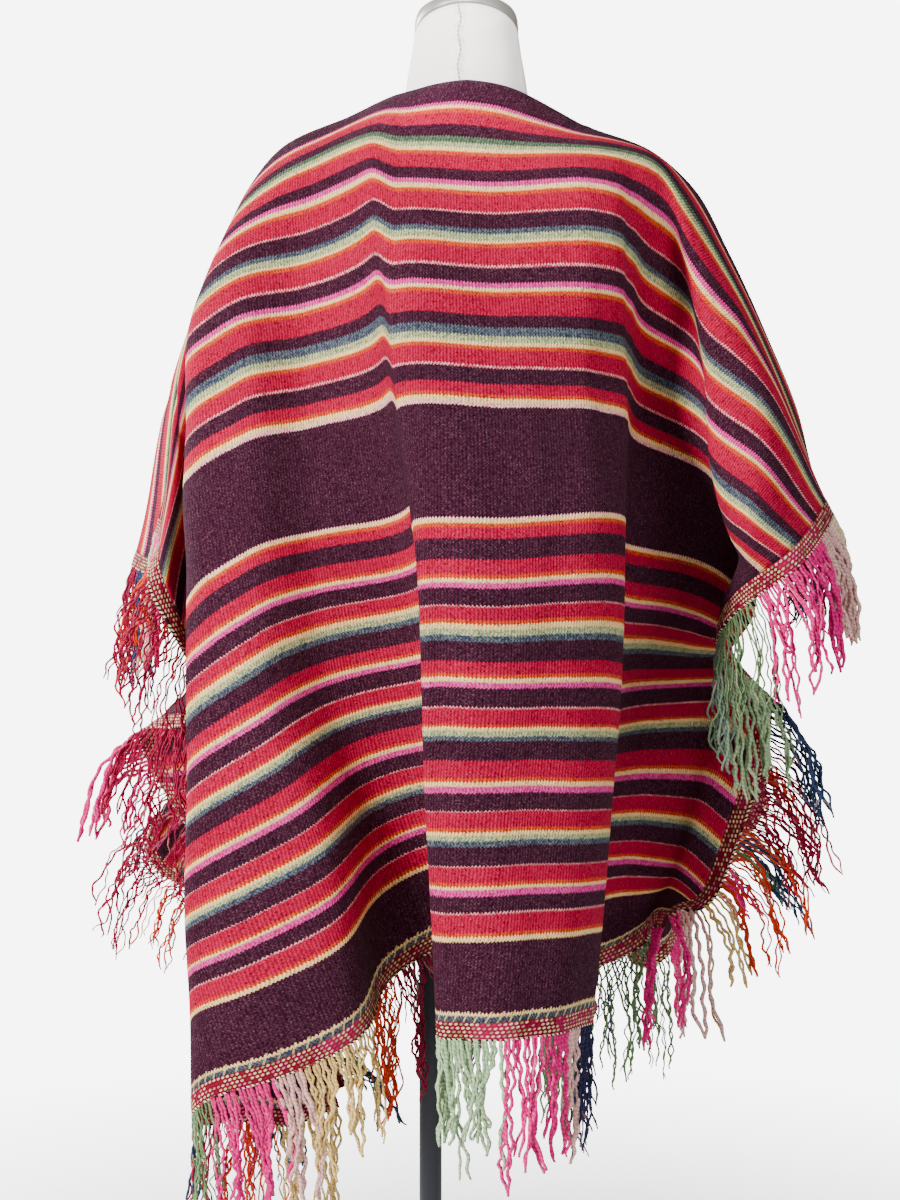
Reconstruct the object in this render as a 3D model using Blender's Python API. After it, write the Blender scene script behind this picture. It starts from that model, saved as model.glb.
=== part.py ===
"""Andean poncho with fringed edges, hanging on a dress form on a pole stand.

World frame: metres, Z up, origin on the pole axis at the underside of the base. The back of the
poncho faces -Y. Cloth is described by two cloth measures: "across" runs along the width from the
middle, "down" runs from the shoulder line to a hem.
"""
import math

import bmesh
import bpy
from mathutils import Vector

# ---------------------------------------------------------------- cloth sizes
HALF_WIDTH = 0.62
HALF_LENGTH = 0.935
CLOTH_WALL = 0.0024
SEAM_GAP = 0.0003
SLIT_HALF = 0.14
LIP_BACK = 0.048
LIP_FRONT = 0.078
LIP_DROP = 0.050
SHOULDER_EASE = 0.10
ROWS = 24
COLUMN_PITCH = 0.031

# ---------------------------------------------------------------- edging tape and fringe
TAPE_WIDTH = 0.017
TAPE_WALL = 0.0030
TAPE_GAP = 0.0004
TAPE_EASE = 2
STRAND_LENGTH = 0.120
STRAND_ROOT = 0.009
STRAND_RADIUS = 0.0036
STRAND_TIP = 0.0022
STRAND_SPLAY = 0.50
STRAND_SWAY = 0.0022
STRAND_SEGMENTS = 5
# Places along each tape where a neighbouring fold leaves no room for a strand.
BARE_PLACES = {
    "fringe_back": (),
    "fringe_front": (26, 27, 28),
    "fringe_left": (),
    "fringe_right": (),
}

# ---------------------------------------------------------------- dress form and stand
NECK_X = 0.037
NECK_RADIUS = 0.0535
NECK_TOP = 1.462
CAP_HEIGHT = 0.026
CAP_TILT = 0.010
TORSO_SIDES = 32
TORSO_BOTTOM = 0.700
POLE_RADIUS = 0.0115
POLE_FLANGE_RADIUS = 0.045
POLE_FLANGE_HEIGHT = 0.008
BASE_RADIUS = 0.170
BASE_HEIGHT = 0.018
BASE_BEVEL = 0.005

# Rows down the cloth at which the folds below are given.
DOWN = (0.06, 0.16, 0.30, 0.46, 0.62, 0.78, 0.935)

# The shoulder line, out from the middle of the neck along the cloth.
SHOULDER_LINE = {
    "across": (0.0, 0.05, 0.10, 0.14, 0.205, 0.26, 0.34, 0.44, 0.53, 0.62),
    "side_right": (0.0, 0.049, 0.094, 0.128, 0.190, 0.232, 0.280, 0.325, 0.352, 0.368),
    "side_left": (0.0, 0.049, 0.094, 0.128, 0.190, 0.226, 0.258, 0.284, 0.306, 0.326),
    "height_right": (1.395, 1.391, 1.379, 1.365, 1.342, 1.307, 1.243, 1.156, 1.072, 0.986),
    "height_left": (1.395, 1.391, 1.379, 1.365, 1.342, 1.302, 1.230, 1.135, 1.048, 0.962),
    "depth": (-0.018, -0.018, -0.018, -0.018, -0.010, 0.0, 0.020, 0.045, 0.062, 0.075),
}

# Folds from the left edge to the right edge. "across" is where the fold lies on the cloth, first at
# the shoulder line and then at each row of DOWN. "side" and "depth" are its plan position there.
# Heights follow from the length of the cloth.
BACK_FOLDS = {
    "edge_left": {
        "across": (-0.62, -0.62, -0.62, -0.62, -0.62, -0.62, -0.62, -0.62),
        "side": (-0.302, -0.287, -0.225, -0.297, -0.238, -0.162, -0.099),
        "depth": (0.016, -0.072, -0.034, 0.098, 0.108, 0.06, 0.015),
    },
    "drape_left": {
        "across": (-0.324, -0.345, -0.394, -0.456, -0.545, -0.558, -0.557, -0.557),
        "side": (-0.249, -0.245, -0.228, -0.227, -0.219, -0.163, -0.153),
        "depth": (-0.017, 0.005, 0.031, 0.085, 0.051, 0.002, -0.024),
    },
    "tuck_left": {
        "across": (-0.271, -0.289, -0.337, -0.393, -0.427, -0.444, -0.465, -0.482),
        "side": (-0.211, -0.234, -0.201, -0.206, -0.202, -0.206, -0.21),
        "depth": (-0.035, -0.021, -0.002, -0.016, -0.05, -0.07, -0.058),
    },
    "fold_left": {
        "across": (-0.224, -0.238, -0.292, -0.303, -0.302, -0.318, -0.362, -0.405),
        "side": (-0.188, -0.236, -0.239, -0.234, -0.231, -0.233, -0.216),
        "depth": (-0.044, -0.047, -0.065, -0.12, -0.148, -0.138, -0.111),
    },
    "panel_left": {
        "across": (-0.167, -0.177, -0.169, -0.168, -0.174, -0.208, -0.253, -0.303),
        "side": (-0.14, -0.14, -0.139, -0.136, -0.135, -0.138, -0.132),
        "depth": (-0.057, -0.095, -0.135, -0.186, -0.173, -0.136, -0.118),
    },
    "valley_left": {
        "across": (-0.107, -0.114, -0.097, -0.085, -0.08, -0.092, -0.118, -0.147),
        "side": (-0.08, -0.077, -0.069, -0.051, -0.03, -0.023, -0.013),
        "depth": (-0.07, -0.124, -0.176, -0.221, -0.175, -0.118, -0.067),
    },
    "ridge_left": {
        "across": (-0.074, -0.079, -0.065, -0.052, -0.041, -0.023, 0.003, 0.04),
        "side": (-0.054, -0.048, -0.038, -0.021, -0.001, 0.012, 0.034),
        "depth": (-0.089, -0.135, -0.186, -0.243, -0.235, -0.22, -0.226),
    },
    "ridge_middle": {
        "across": (0.055, 0.059, 0.062, 0.058, 0.058, 0.063, 0.077, 0.095),
        "side": (0.074, 0.073, 0.075, 0.078, 0.082, 0.084, 0.088),
        "depth": (-0.1, -0.137, -0.184, -0.254, -0.253, -0.232, -0.231),
    },
    "ridge_right": {
        "across": (0.168, 0.179, 0.184, 0.19, 0.166, 0.154, 0.157, 0.158),
        "side": (0.179, 0.183, 0.187, 0.175, 0.163, 0.153, 0.138),
        "depth": (-0.073, -0.126, -0.12, -0.213, -0.212, -0.191, -0.189),
    },
    "valley_right": {
        "across": (0.217, 0.231, 0.263, 0.293, 0.308, 0.349, 0.398, 0.437),
        "side": (0.22, 0.215, 0.208, 0.189, 0.18, 0.163, 0.138),
        "depth": (-0.067, -0.072, -0.034, -0.088, -0.03, 0.032, 0.073),
    },
    "gully_right": {
        "across": (0.242, 0.258, 0.346, 0.418, 0.463, 0.485, 0.491, 0.49),
        "side": (0.235, 0.262, 0.276, 0.305, 0.247, 0.223, 0.169),
        "depth": (-0.062, -0.051, -0.1, -0.024, 0.069, 0.096, 0.102),
    },
    "fold_right": {
        "across": (0.267, 0.284, 0.41, 0.506, 0.533, 0.546, 0.547, 0.551),
        "side": (0.254, 0.272, 0.282, 0.326, 0.297, 0.266, 0.219),
        "depth": (-0.057, -0.095, -0.155, -0.067, 0.071, 0.086, 0.092),
    },
    "drape_right": {
        "across": (0.351, 0.373, 0.485, 0.579, 0.588, 0.581, 0.582, 0.581),
        "side": (0.304, 0.322, 0.305, 0.295, 0.319, 0.278, 0.232),
        "depth": (-0.037, -0.121, -0.202, -0.104, 0.047, 0.065, 0.071),
    },
    "edge_right": {
        "across": (0.62, 0.62, 0.62, 0.62, 0.62, 0.62, 0.62, 0.62),
        "side": (0.405, 0.391, 0.335, 0.289, 0.344, 0.3, 0.239),
        "depth": (0.015, -0.084, -0.195, -0.113, 0.032, 0.048, 0.033),
    },
}

FRONT_FOLDS = {
    "edge_left": {
        "across": (-0.62, -0.62, -0.62, -0.62, -0.62, -0.62, -0.62, -0.62),
        "side": (-0.296, -0.331, -0.223, -0.243, -0.306, -0.218, -0.208),
        "depth": (0.118, 0.212, 0.289, 0.207, 0.186, 0.27, 0.233),
    },
    "fold_left": {
        "across": (-0.323, -0.344, -0.384, -0.447, -0.528, -0.533, -0.545, -0.556),
        "side": (-0.238, -0.259, -0.283, -0.27, -0.257, -0.215, -0.206),
        "depth": (0.061, 0.141, 0.14, 0.179, 0.148, 0.198, 0.175),
    },
    "panel_left": {
        "across": (-0.245, -0.261, -0.289, -0.313, -0.342, -0.374, -0.41, -0.448),
        "side": (-0.188, -0.187, -0.183, -0.149, -0.137, -0.142, -0.156),
        "depth": (0.051, 0.087, 0.123, 0.12, 0.129, 0.139, 0.161),
    },
    "ridge_left": {
        "across": (-0.196, -0.209, -0.214, -0.213, -0.209, -0.212, -0.223, -0.237),
        "side": (-0.14, -0.132, -0.126, -0.112, -0.105, -0.108, -0.108),
        "depth": (0.038, 0.107, 0.174, 0.212, 0.242, 0.262, 0.276),
    },
    "valley_middle": {
        "across": (-0.093, -0.099, -0.094, -0.085, -0.079, -0.076, -0.075, -0.076),
        "side": (-0.046, -0.031, -0.01, -0.01, -0.011, -0.017, -0.008),
        "depth": (0.062, 0.14, 0.165, 0.177, 0.185, 0.198, 0.24),
    },
    "ridge_middle": {
        "across": (0.034, 0.036, 0.039, 0.045, 0.051, 0.059, 0.065, 0.069),
        "side": (0.076, 0.091, 0.096, 0.086, 0.081, 0.067, 0.073),
        "depth": (0.109, 0.18, 0.215, 0.236, 0.247, 0.263, 0.253),
    },
    "valley_right": {
        "across": (0.107, 0.114, 0.15, 0.18, 0.196, 0.208, 0.218, 0.226),
        "side": (0.135, 0.183, 0.172, 0.165, 0.154, 0.158, 0.155),
        "depth": (0.051, 0.14, 0.132, 0.148, 0.149, 0.207, 0.232),
    },
    "ridge_right": {
        "across": (0.225, 0.239, 0.261, 0.304, 0.338, 0.358, 0.378, 0.397),
        "side": (0.262, 0.269, 0.257, 0.25, 0.24, 0.242, 0.228),
        "depth": (0.052, 0.124, 0.187, 0.212, 0.229, 0.259, 0.244),
    },
    "fold_right": {
        "across": (0.262, 0.279, 0.343, 0.405, 0.474, 0.527, 0.559, 0.551),
        "side": (0.297, 0.331, 0.323, 0.293, 0.282, 0.28, 0.252),
        "depth": (0.057, 0.126, 0.168, 0.137, 0.112, 0.13, 0.177),
    },
    "edge_right": {
        "across": (0.62, 0.62, 0.62, 0.62, 0.62, 0.62, 0.62, 0.62),
        "side": (0.382, 0.415, 0.32, 0.307, 0.349, 0.302, 0.273),
        "depth": (0.13, 0.225, 0.311, 0.221, 0.124, 0.142, 0.188),
    },
}


# Torso rings from the bottom up: height, half width, half depth, middle sideways, middle in depth.
TORSO_RINGS = (
    (0.700, 0.132, 0.094, 0.006, 0.000),
    (0.740, 0.146, 0.102, 0.008, 0.000),
    (0.820, 0.150, 0.102, 0.011, 0.000),
    (0.900, 0.140, 0.094, 0.014, 0.000),
    (0.970, 0.130, 0.085, 0.017, 0.000),
    (1.050, 0.144, 0.095, 0.021, 0.004),
    (1.130, 0.160, 0.108, 0.025, 0.008),
    (1.200, 0.174, 0.104, 0.028, 0.002),
    (1.260, 0.186, 0.088, 0.031, -0.008),
    (1.300, 0.186, 0.070, 0.033, -0.012),
    (1.3292, 0.174, 0.056, 0.035, -0.014),
    (1.3506, 0.146, 0.050, 0.036, -0.014),
    (1.3586, 0.108, 0.036, 0.037, -0.014),
    (1.3666, 0.082, 0.038, 0.037, -0.012),
    (1.3792, 0.0634, 0.045, 0.037, -0.006),
    (1.400, 0.056, 0.0535, 0.037, 0.001),
    (1.430, 0.0535, 0.0530, 0.037, 0.003),
)


def clear_scene():
    for ob in list(bpy.data.objects):
        bpy.data.objects.remove(ob, do_unlink=True)


def slopes(xs, ys):
    """Slope of a smooth curve at each of its points."""
    out = []
    last = len(xs) - 1
    for i in range(len(xs)):
        if i == 0:
            out.append((ys[1] - ys[0]) / (xs[1] - xs[0]))
        elif i == last:
            out.append((ys[last] - ys[last - 1]) / (xs[last] - xs[last - 1]))
        else:
            before = xs[i] - xs[i - 1]
            after = xs[i + 1] - xs[i]
            low = (ys[i] - ys[i - 1]) / before
            high = (ys[i + 1] - ys[i]) / after
            out.append((low * after + high * before) / (before + after))
    return out


def smooth(xs, ys, x, steep=None):
    """Value of the smooth curve through xs, ys at x. It runs straight on past its ends."""
    steep = steep or slopes(xs, ys)
    if x <= xs[0]:
        return ys[0] + steep[0] * (x - xs[0])
    if x >= xs[-1]:
        return ys[-1] + steep[-1] * (x - xs[-1])
    i = 0
    while x > xs[i + 1]:
        i += 1
    h = xs[i + 1] - xs[i]
    t = (x - xs[i]) / h
    a = (1 + 2 * t) * (1 - t) ** 2
    b = t * (1 - t) ** 2
    c = t * t * (3 - 2 * t)
    d = t * t * (t - 1)
    return a * ys[i] + b * h * steep[i] + c * ys[i + 1] + d * h * steep[i + 1]


def shoulder_point(across, front):
    """A point of the shoulder line, on the back or front lip where the neck slit parts them."""
    rows = SHOULDER_LINE["across"]
    hand = "right" if across >= 0 else "left"
    reach = abs(across)
    side = smooth(rows, SHOULDER_LINE["side_" + hand], reach)
    height = smooth(rows, SHOULDER_LINE["height_" + hand], reach)
    depth = smooth(rows, SHOULDER_LINE["depth"], reach)
    if reach < SLIT_HALF:
        lip = math.cos(0.5 * math.pi * reach / SLIT_HALF) ** 2
        depth += LIP_FRONT * lip if front else -LIP_BACK * lip
        height -= LIP_DROP * lip if front else 0.0
    return Vector((NECK_X + math.copysign(side, across), depth, height))


class Half:
    """One half of the cloth, as points by cloth measures."""

    def __init__(self, folds, front):
        self.front = front
        self.down = (0.0,) + DOWN
        self.lines = []
        for fold in folds.values():
            self.lines.append(self.fold_line(fold))
        self.rows = {}

    def fold_line(self, fold):
        across = fold["across"]
        points = [shoulder_point(across[0], self.front)]
        for i, (side, depth) in enumerate(zip(fold["side"], fold["depth"])):
            step = self.down[i + 1] - self.down[i]
            drift = across[i + 1] - across[i]
            move = (side - points[i].x) ** 2 + (depth - points[i].y) ** 2
            fall = math.sqrt(max(step ** 2 + drift ** 2 - move, (0.02 * step) ** 2))
            points.append(Vector((side, depth, points[i].z - fall)))
        columns = [across] + [[p[axis] for p in points] for axis in range(3)]
        return [(values, slopes(self.down, values)) for values in columns]

    def row(self, down):
        """Fold positions at one distance down the cloth."""
        if down not in self.rows:
            columns = []
            for part in range(4):
                values = [smooth(self.down, line[part][0], down, line[part][1]) for line in self.lines]
                columns.append(values)
            across = columns[0]
            steep = [slopes(across, columns[axis]) for axis in (1, 2, 3)]
            self.rows[down] = (columns, steep)
        return self.rows[down]

    def raw(self, across, down):
        columns, steep = self.row(down)
        return Vector([smooth(columns[0], columns[i + 1], across, steep[i]) for i in range(3)])

    def point(self, across, down):
        place = self.raw(across, down)
        fade = max(0.0, 1.0 - down / SHOULDER_EASE)
        if fade > 0.0:
            fade = fade * fade * (3 - 2 * fade)
            place += fade * (shoulder_point(across, self.front) - self.raw(across, 0.0))
        return place

    def frame(self, across, down):
        """Point, direction across, direction down and outward normal."""
        e = 0.002
        place = self.point(across, down)
        a = self.point(across + e, down) - self.point(across - e, down)
        d = self.point(across, down + e) - self.point(across, max(down - e, 0.0))
        a.normalize()
        d.normalize()
        out = a.cross(d) if self.front else d.cross(a)
        return place, a, d, out.normalized()


def finish(name, verts, faces, colour, roughness):
    """A closed mesh object with its faces turned outward and a material of its own."""
    mesh = bpy.data.meshes.new(name)
    mesh.from_pydata([tuple(v) for v in verts], [], faces)
    bm = bmesh.new()
    bm.from_mesh(mesh)
    bmesh.ops.triangulate(bm, faces=list(bm.faces), quad_method="SHORT_EDGE")
    bmesh.ops.recalc_face_normals(bm, faces=list(bm.faces))
    if bm.calc_volume(signed=True) < 0:
        bmesh.ops.reverse_faces(bm, faces=list(bm.faces))
    bm.to_mesh(mesh)
    bm.free()
    ob = bpy.data.objects.new(name, mesh)
    bpy.context.scene.collection.objects.link(ob)
    mat = bpy.data.materials.new(name + "_mat")
    mat.use_nodes = True
    shader = mat.node_tree.nodes["Principled BSDF"]
    shader.inputs["Base Color"].default_value = (*colour, 1.0)
    shader.inputs["Roughness"].default_value = roughness
    mat.diffuse_color = (*colour, 1.0)
    mesh.materials.append(mat)
    return ob


def grid_faces(columns, rows, offset):
    faces = []
    for i in range(columns):
        for j in range(rows):
            a = offset + i * (rows + 1) + j
            b = offset + (i + 1) * (rows + 1) + j
            faces.append((a, b, b + 1, a + 1))
    return faces


def column_places():
    """Cloth columns from edge to edge, with one at each end of the neck slit."""
    marks = sorted({-HALF_WIDTH, -SLIT_HALF, SLIT_HALF, HALF_WIDTH})
    places = []
    for low, high in zip(marks, marks[1:]):
        count = max(1, round((high - low) / COLUMN_PITCH))
        places += [low + (high - low) * i / count for i in range(count)]
    return places + [HALF_WIDTH]


def row_places():
    """Cloth rows from just below the shoulder line to the hem, closest at the shoulder."""
    downs = [HALF_LENGTH * (i / ROWS) ** 1.12 for i in range(ROWS + 1)]
    downs[0] = 0.5 * SEAM_GAP
    return downs


def sheet(name, half, other, colour):
    """A cloth half as a wall, its normals shared with the other half at the shoulder line."""
    places = column_places()
    downs = row_places()
    outer = []
    inner = []
    for across in places:
        for down in downs:
            place, _, _, out = half.frame(across, down)
            if down == downs[0] and abs(across) >= SLIT_HALF - 1e-6:
                out = (out + other.frame(across, down)[3]).normalized()
            outer.append(place + out * 0.5 * CLOTH_WALL)
            inner.append(place - out * 0.5 * CLOTH_WALL)
    columns = len(places) - 1
    rows = len(downs) - 1
    count = len(outer)
    faces = grid_faces(columns, rows, 0)
    faces += [tuple(reversed(f)) for f in grid_faces(columns, rows, count)]
    ring = [i * (rows + 1) for i in range(columns + 1)]
    ring += [columns * (rows + 1) + j for j in range(1, rows + 1)]
    ring += [i * (rows + 1) + rows for i in range(columns - 1, -1, -1)]
    ring += [j for j in range(rows - 1, 0, -1)]
    for k, a in enumerate(ring):
        b = ring[(k + 1) % len(ring)]
        faces.append((b, a, a + count, b + count))
    return finish(name, outer + inner, faces, colour, 0.85)


def rim_frames(half, places, along_rim):
    """Places on a rim of the cloth: point, direction along it, outward in the cloth, normal."""
    out = []
    for across, down in places:
        place, a, d, normal = half.frame(across, down)
        along = a if along_rim == "hem" else d
        outward = d if along_rim == "hem" else a * math.copysign(1.0, across)
        outward = (outward - along * outward.dot(along)).normalized()
        out.append((place, along, outward, normal))
    return out


def between(first, second, share):
    """A place on the straight piece of rim between two others."""
    mixed = [first[0].lerp(second[0], share)]
    mixed += [first[i].lerp(second[i], share).normalized() for i in (1, 2, 3)]
    return tuple(mixed)


def eased(places):
    """The places squared to the rim's run, with a second way out that is evened as in a stiff tape."""
    squared = []
    last = len(places) - 1
    for i, (place, _, outward, normal) in enumerate(places):
        along = (places[min(i + 1, last)][0] - places[max(i - 1, 0)][0]).normalized()
        outward = (outward - along * outward.dot(along)).normalized()
        normal = normal - along * normal.dot(along)
        normal = (normal - outward * normal.dot(outward)).normalized()
        squared.append((place, along, outward, normal))
    places = squared
    ways = [place[2] for place in places]
    for _ in range(TAPE_EASE):
        ways = [(ways[max(i - 1, 0)] + 2 * w + ways[min(i + 1, last)]).normalized()
                for i, w in enumerate(ways)]
    return [(*place, way) for place, way in zip(places, ways)]


def hem_places(half):
    """One place for each column of the cloth."""
    return eased(rim_frames(half, [(across, HALF_LENGTH) for across in column_places()], "hem"))


def side_places(back, front, side):
    """Places down both halves of a side edge, from the back corner to the front corner."""
    downs = row_places()
    rows = [(side * HALF_WIDTH, down) for down in downs]
    rear = rim_frames(back, rows, "side")[::-1]
    rear = [(place, -along, outward, normal) for place, along, outward, normal in rear]
    fore = rim_frames(front, rows, "side")
    rear[-1] = fore[0] = between(rear[-1], fore[0], 0.5)
    return eased(rear + fore[1:])


def fringe(name, places, colour):
    """An edging tape with one strand below each of its places, as one body."""
    verts = []
    faces = []
    starts = []
    down = Vector((0, 0, -1))
    for i, (place, along, straight, normal, outward) in enumerate(places):
        near = place + straight * TAPE_GAP
        far = near + outward * TAPE_WIDTH
        half = normal * 0.5 * TAPE_WALL
        first = len(verts)
        verts += [near + half, near - half]
        root = along * 0.5 * STRAND_ROOT
        verts += [far + half - root, far + half + root, far - half]
        if i:
            p = starts[-1]
            t, s, a, b, c = (first + k for k in range(5))
            faces += [(p, p + 3, a, t), (p + 1, s, c, p + 4), (p, t, s, p + 1), (p + 3, p + 4, c, a)]
        faces.append((first, first + 2, first + 3))
        if i in BARE_PLACES[name]:
            faces.append((first + 2, first + 3, first + 4))
            starts.append(first)
            continue
        length = STRAND_LENGTH * (1 + 0.12 * math.sin(2.4 * i) + 0.06 * math.sin(7.1 * i + 1))
        fall = (down + outward * STRAND_SPLAY * max(0.0, 1 + outward.z)).normalized()
        last = [first + 2, first + 3, first + 4]
        centre = far.copy()
        before = 0.0
        for k in range(1, STRAND_SEGMENTS + 1):
            share = k / STRAND_SEGMENTS
            turn = min(1.0, 1.6 * share)
            heading = (outward * (1 - turn) + fall * turn).normalized()
            centre += heading * length * (share - before)
            before = share
            wide = (along - heading * along.dot(heading)).normalized()
            thick = (normal - heading * normal.dot(heading))
            thick = (thick - wide * thick.dot(wide)).normalized()
            radius = STRAND_RADIUS + (STRAND_TIP - STRAND_RADIUS) * share
            sway = STRAND_SWAY * math.sin(2.1 * k + 0.35 * i) * share
            middle = centre + wide * sway + thick * sway * 0.6
            ring = [
                middle - wide * 0.87 * radius + thick * 0.5 * radius,
                middle + wide * 0.87 * radius + thick * 0.5 * radius,
                middle - thick * radius,
            ]
            index = [len(verts) + m for m in range(3)]
            verts += ring
            for m in range(3):
                n = (m + 1) % 3
                faces.append((last[m], last[n], index[n], index[m]))
            last = index
        faces.append(tuple(last))
        starts.append(first)
    end = starts[-1]
    faces.append((0, 1, 4, 2))
    faces.append((end, end + 3, end + 4, end + 1))
    return finish(name, verts, faces, colour, 0.9)


def lathe(rings, sides):
    """Vertices and faces of a closed stack of rings: height, half width, half depth, x, y, tilt."""
    verts = []
    for height, wide, deep, mid_x, mid_y, tilt in rings:
        for k in range(sides):
            angle = 2 * math.pi * k / sides
            c = math.cos(angle)
            s = math.sin(angle)
            verts.append(Vector((mid_x + wide * c, mid_y + deep * s, height - tilt * s)))
    faces = []
    for r in range(len(rings) - 1):
        for k in range(sides):
            n = (k + 1) % sides
            faces.append((r * sides + k, r * sides + n, (r + 1) * sides + n, (r + 1) * sides + k))
    faces.append(tuple(range(sides)))
    top = (len(rings) - 1) * sides
    faces.append(tuple(range(top, top + sides)))
    return verts, faces


def round_part(name, rings, sides, colour, roughness):
    verts, faces = lathe(rings, sides)
    return finish(name, verts, faces, colour, roughness)


def build():
    clear_scene()
    back = Half(BACK_FOLDS, False)
    front = Half(FRONT_FOLDS, True)
    sheet("poncho_back", back, front, (0.30, 0.03, 0.08))
    sheet("poncho_front", front, back, (0.30, 0.03, 0.08))
    fringe("fringe_back", hem_places(back), (0.75, 0.18, 0.35))
    fringe("fringe_front", hem_places(front), (0.75, 0.18, 0.35))
    fringe("fringe_left", side_places(back, front, -1), (0.75, 0.18, 0.35))
    fringe("fringe_right", side_places(back, front, 1), (0.75, 0.18, 0.35))

    torso = [(*ring, 0.0) for ring in TORSO_RINGS]
    torso.append((NECK_TOP, NECK_RADIUS, NECK_RADIUS, NECK_X, 0.005, CAP_TILT))
    round_part("form_torso", torso, TORSO_SIDES, (0.80, 0.76, 0.68), 0.8)
    cap = [
        (NECK_TOP, NECK_RADIUS, NECK_RADIUS, NECK_X, 0.005, CAP_TILT),
        (NECK_TOP + CAP_HEIGHT * 0.75, NECK_RADIUS, NECK_RADIUS, NECK_X, 0.005, CAP_TILT),
        (NECK_TOP + CAP_HEIGHT, NECK_RADIUS * 0.93, NECK_RADIUS * 0.93, NECK_X, 0.005, CAP_TILT),
    ]
    round_part("neck_cap", cap, TORSO_SIDES, (0.45, 0.43, 0.41), 0.4)
    top = TORSO_BOTTOM
    pole = [
        (BASE_HEIGHT, POLE_RADIUS, POLE_RADIUS, 0.0, 0.0, 0.0),
        (top - POLE_FLANGE_HEIGHT, POLE_RADIUS, POLE_RADIUS, 0.0, 0.0, 0.0),
        (top - POLE_FLANGE_HEIGHT, POLE_FLANGE_RADIUS, POLE_FLANGE_RADIUS, 0.0, 0.0, 0.0),
        (top, POLE_FLANGE_RADIUS, POLE_FLANGE_RADIUS, 0.0, 0.0, 0.0),
    ]
    round_part("pole", pole, 24, (0.02, 0.025, 0.05), 0.35)
    base = [
        (0.0, BASE_RADIUS, BASE_RADIUS, 0.0, 0.0, 0.0),
        (BASE_HEIGHT - BASE_BEVEL, BASE_RADIUS, BASE_RADIUS, 0.0, 0.0, 0.0),
        (BASE_HEIGHT, BASE_RADIUS - BASE_BEVEL, BASE_RADIUS - BASE_BEVEL, 0.0, 0.0, 0.0),
    ]
    round_part("base", base, 48, (0.02, 0.025, 0.05), 0.4)


build()
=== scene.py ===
import math

import bpy
import numpy as np
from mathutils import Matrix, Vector
from mathutils.bvhtree import BVHTree


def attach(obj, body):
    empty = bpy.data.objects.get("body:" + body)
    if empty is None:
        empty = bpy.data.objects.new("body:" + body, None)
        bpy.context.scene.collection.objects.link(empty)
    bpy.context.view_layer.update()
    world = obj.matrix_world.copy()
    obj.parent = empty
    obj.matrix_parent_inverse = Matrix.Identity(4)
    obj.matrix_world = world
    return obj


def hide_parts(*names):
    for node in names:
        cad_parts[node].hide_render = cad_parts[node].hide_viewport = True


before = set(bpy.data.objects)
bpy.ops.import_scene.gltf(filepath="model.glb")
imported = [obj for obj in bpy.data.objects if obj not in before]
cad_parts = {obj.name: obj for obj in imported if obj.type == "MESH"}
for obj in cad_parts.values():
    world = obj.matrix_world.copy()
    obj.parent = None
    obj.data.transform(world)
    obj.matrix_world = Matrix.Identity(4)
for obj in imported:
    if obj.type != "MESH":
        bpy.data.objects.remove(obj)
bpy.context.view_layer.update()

# Cloth is laid out by two cloth measures: across, along the width from the middle, and down, from
# the shoulder line to a hem. The back of the poncho faces -Y.
cloth = {
    "halfWidth": 0.62,
    "halfLength": 0.935,
    "thickness": 0.0018,
    "sideColumns": 70,
    "slitColumns": 64,
    "rows": 112,
    "slitHalf": 0.14,
    "lipBack": 0.048,
    "lipFront": 0.078,
    "lipDrop": 0.050,
    "lipRise": 0.015,  # the back of the neck opening stands up against the form
    "shoulderEase": 0.10,
    "neckSide": 0.037,
    "shortestFall": 0.02,  # the least that a fold line falls from row to row, as a share
}

foldRows = (0.0, 0.06, 0.16, 0.30, 0.46, 0.62, 0.78, 0.935)  # down the cloth, for the fold tables

# The shoulder line, out from the middle of the neck along the cloth.
shoulderLine = {
    "across": (0.0, 0.05, 0.10, 0.14, 0.205, 0.26, 0.34, 0.44, 0.53, 0.62),
    "sideRight": (0.0, 0.049, 0.094, 0.128, 0.190, 0.232, 0.271, 0.315, 0.351, 0.368),
    "sideLeft": (0.0, 0.049, 0.094, 0.128, 0.190, 0.226, 0.258, 0.284, 0.306, 0.326),
    "heightRight": (1.395, 1.391, 1.379, 1.365, 1.342, 1.307, 1.243, 1.156, 1.072, 0.986),
    "heightLeft": (1.395, 1.392, 1.385, 1.373, 1.345, 1.302, 1.230, 1.135, 1.048, 0.962),
    "depth": (-0.018, -0.018, -0.018, -0.018, -0.010, 0.0, 0.020, 0.045, 0.062, 0.075),
}

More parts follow.
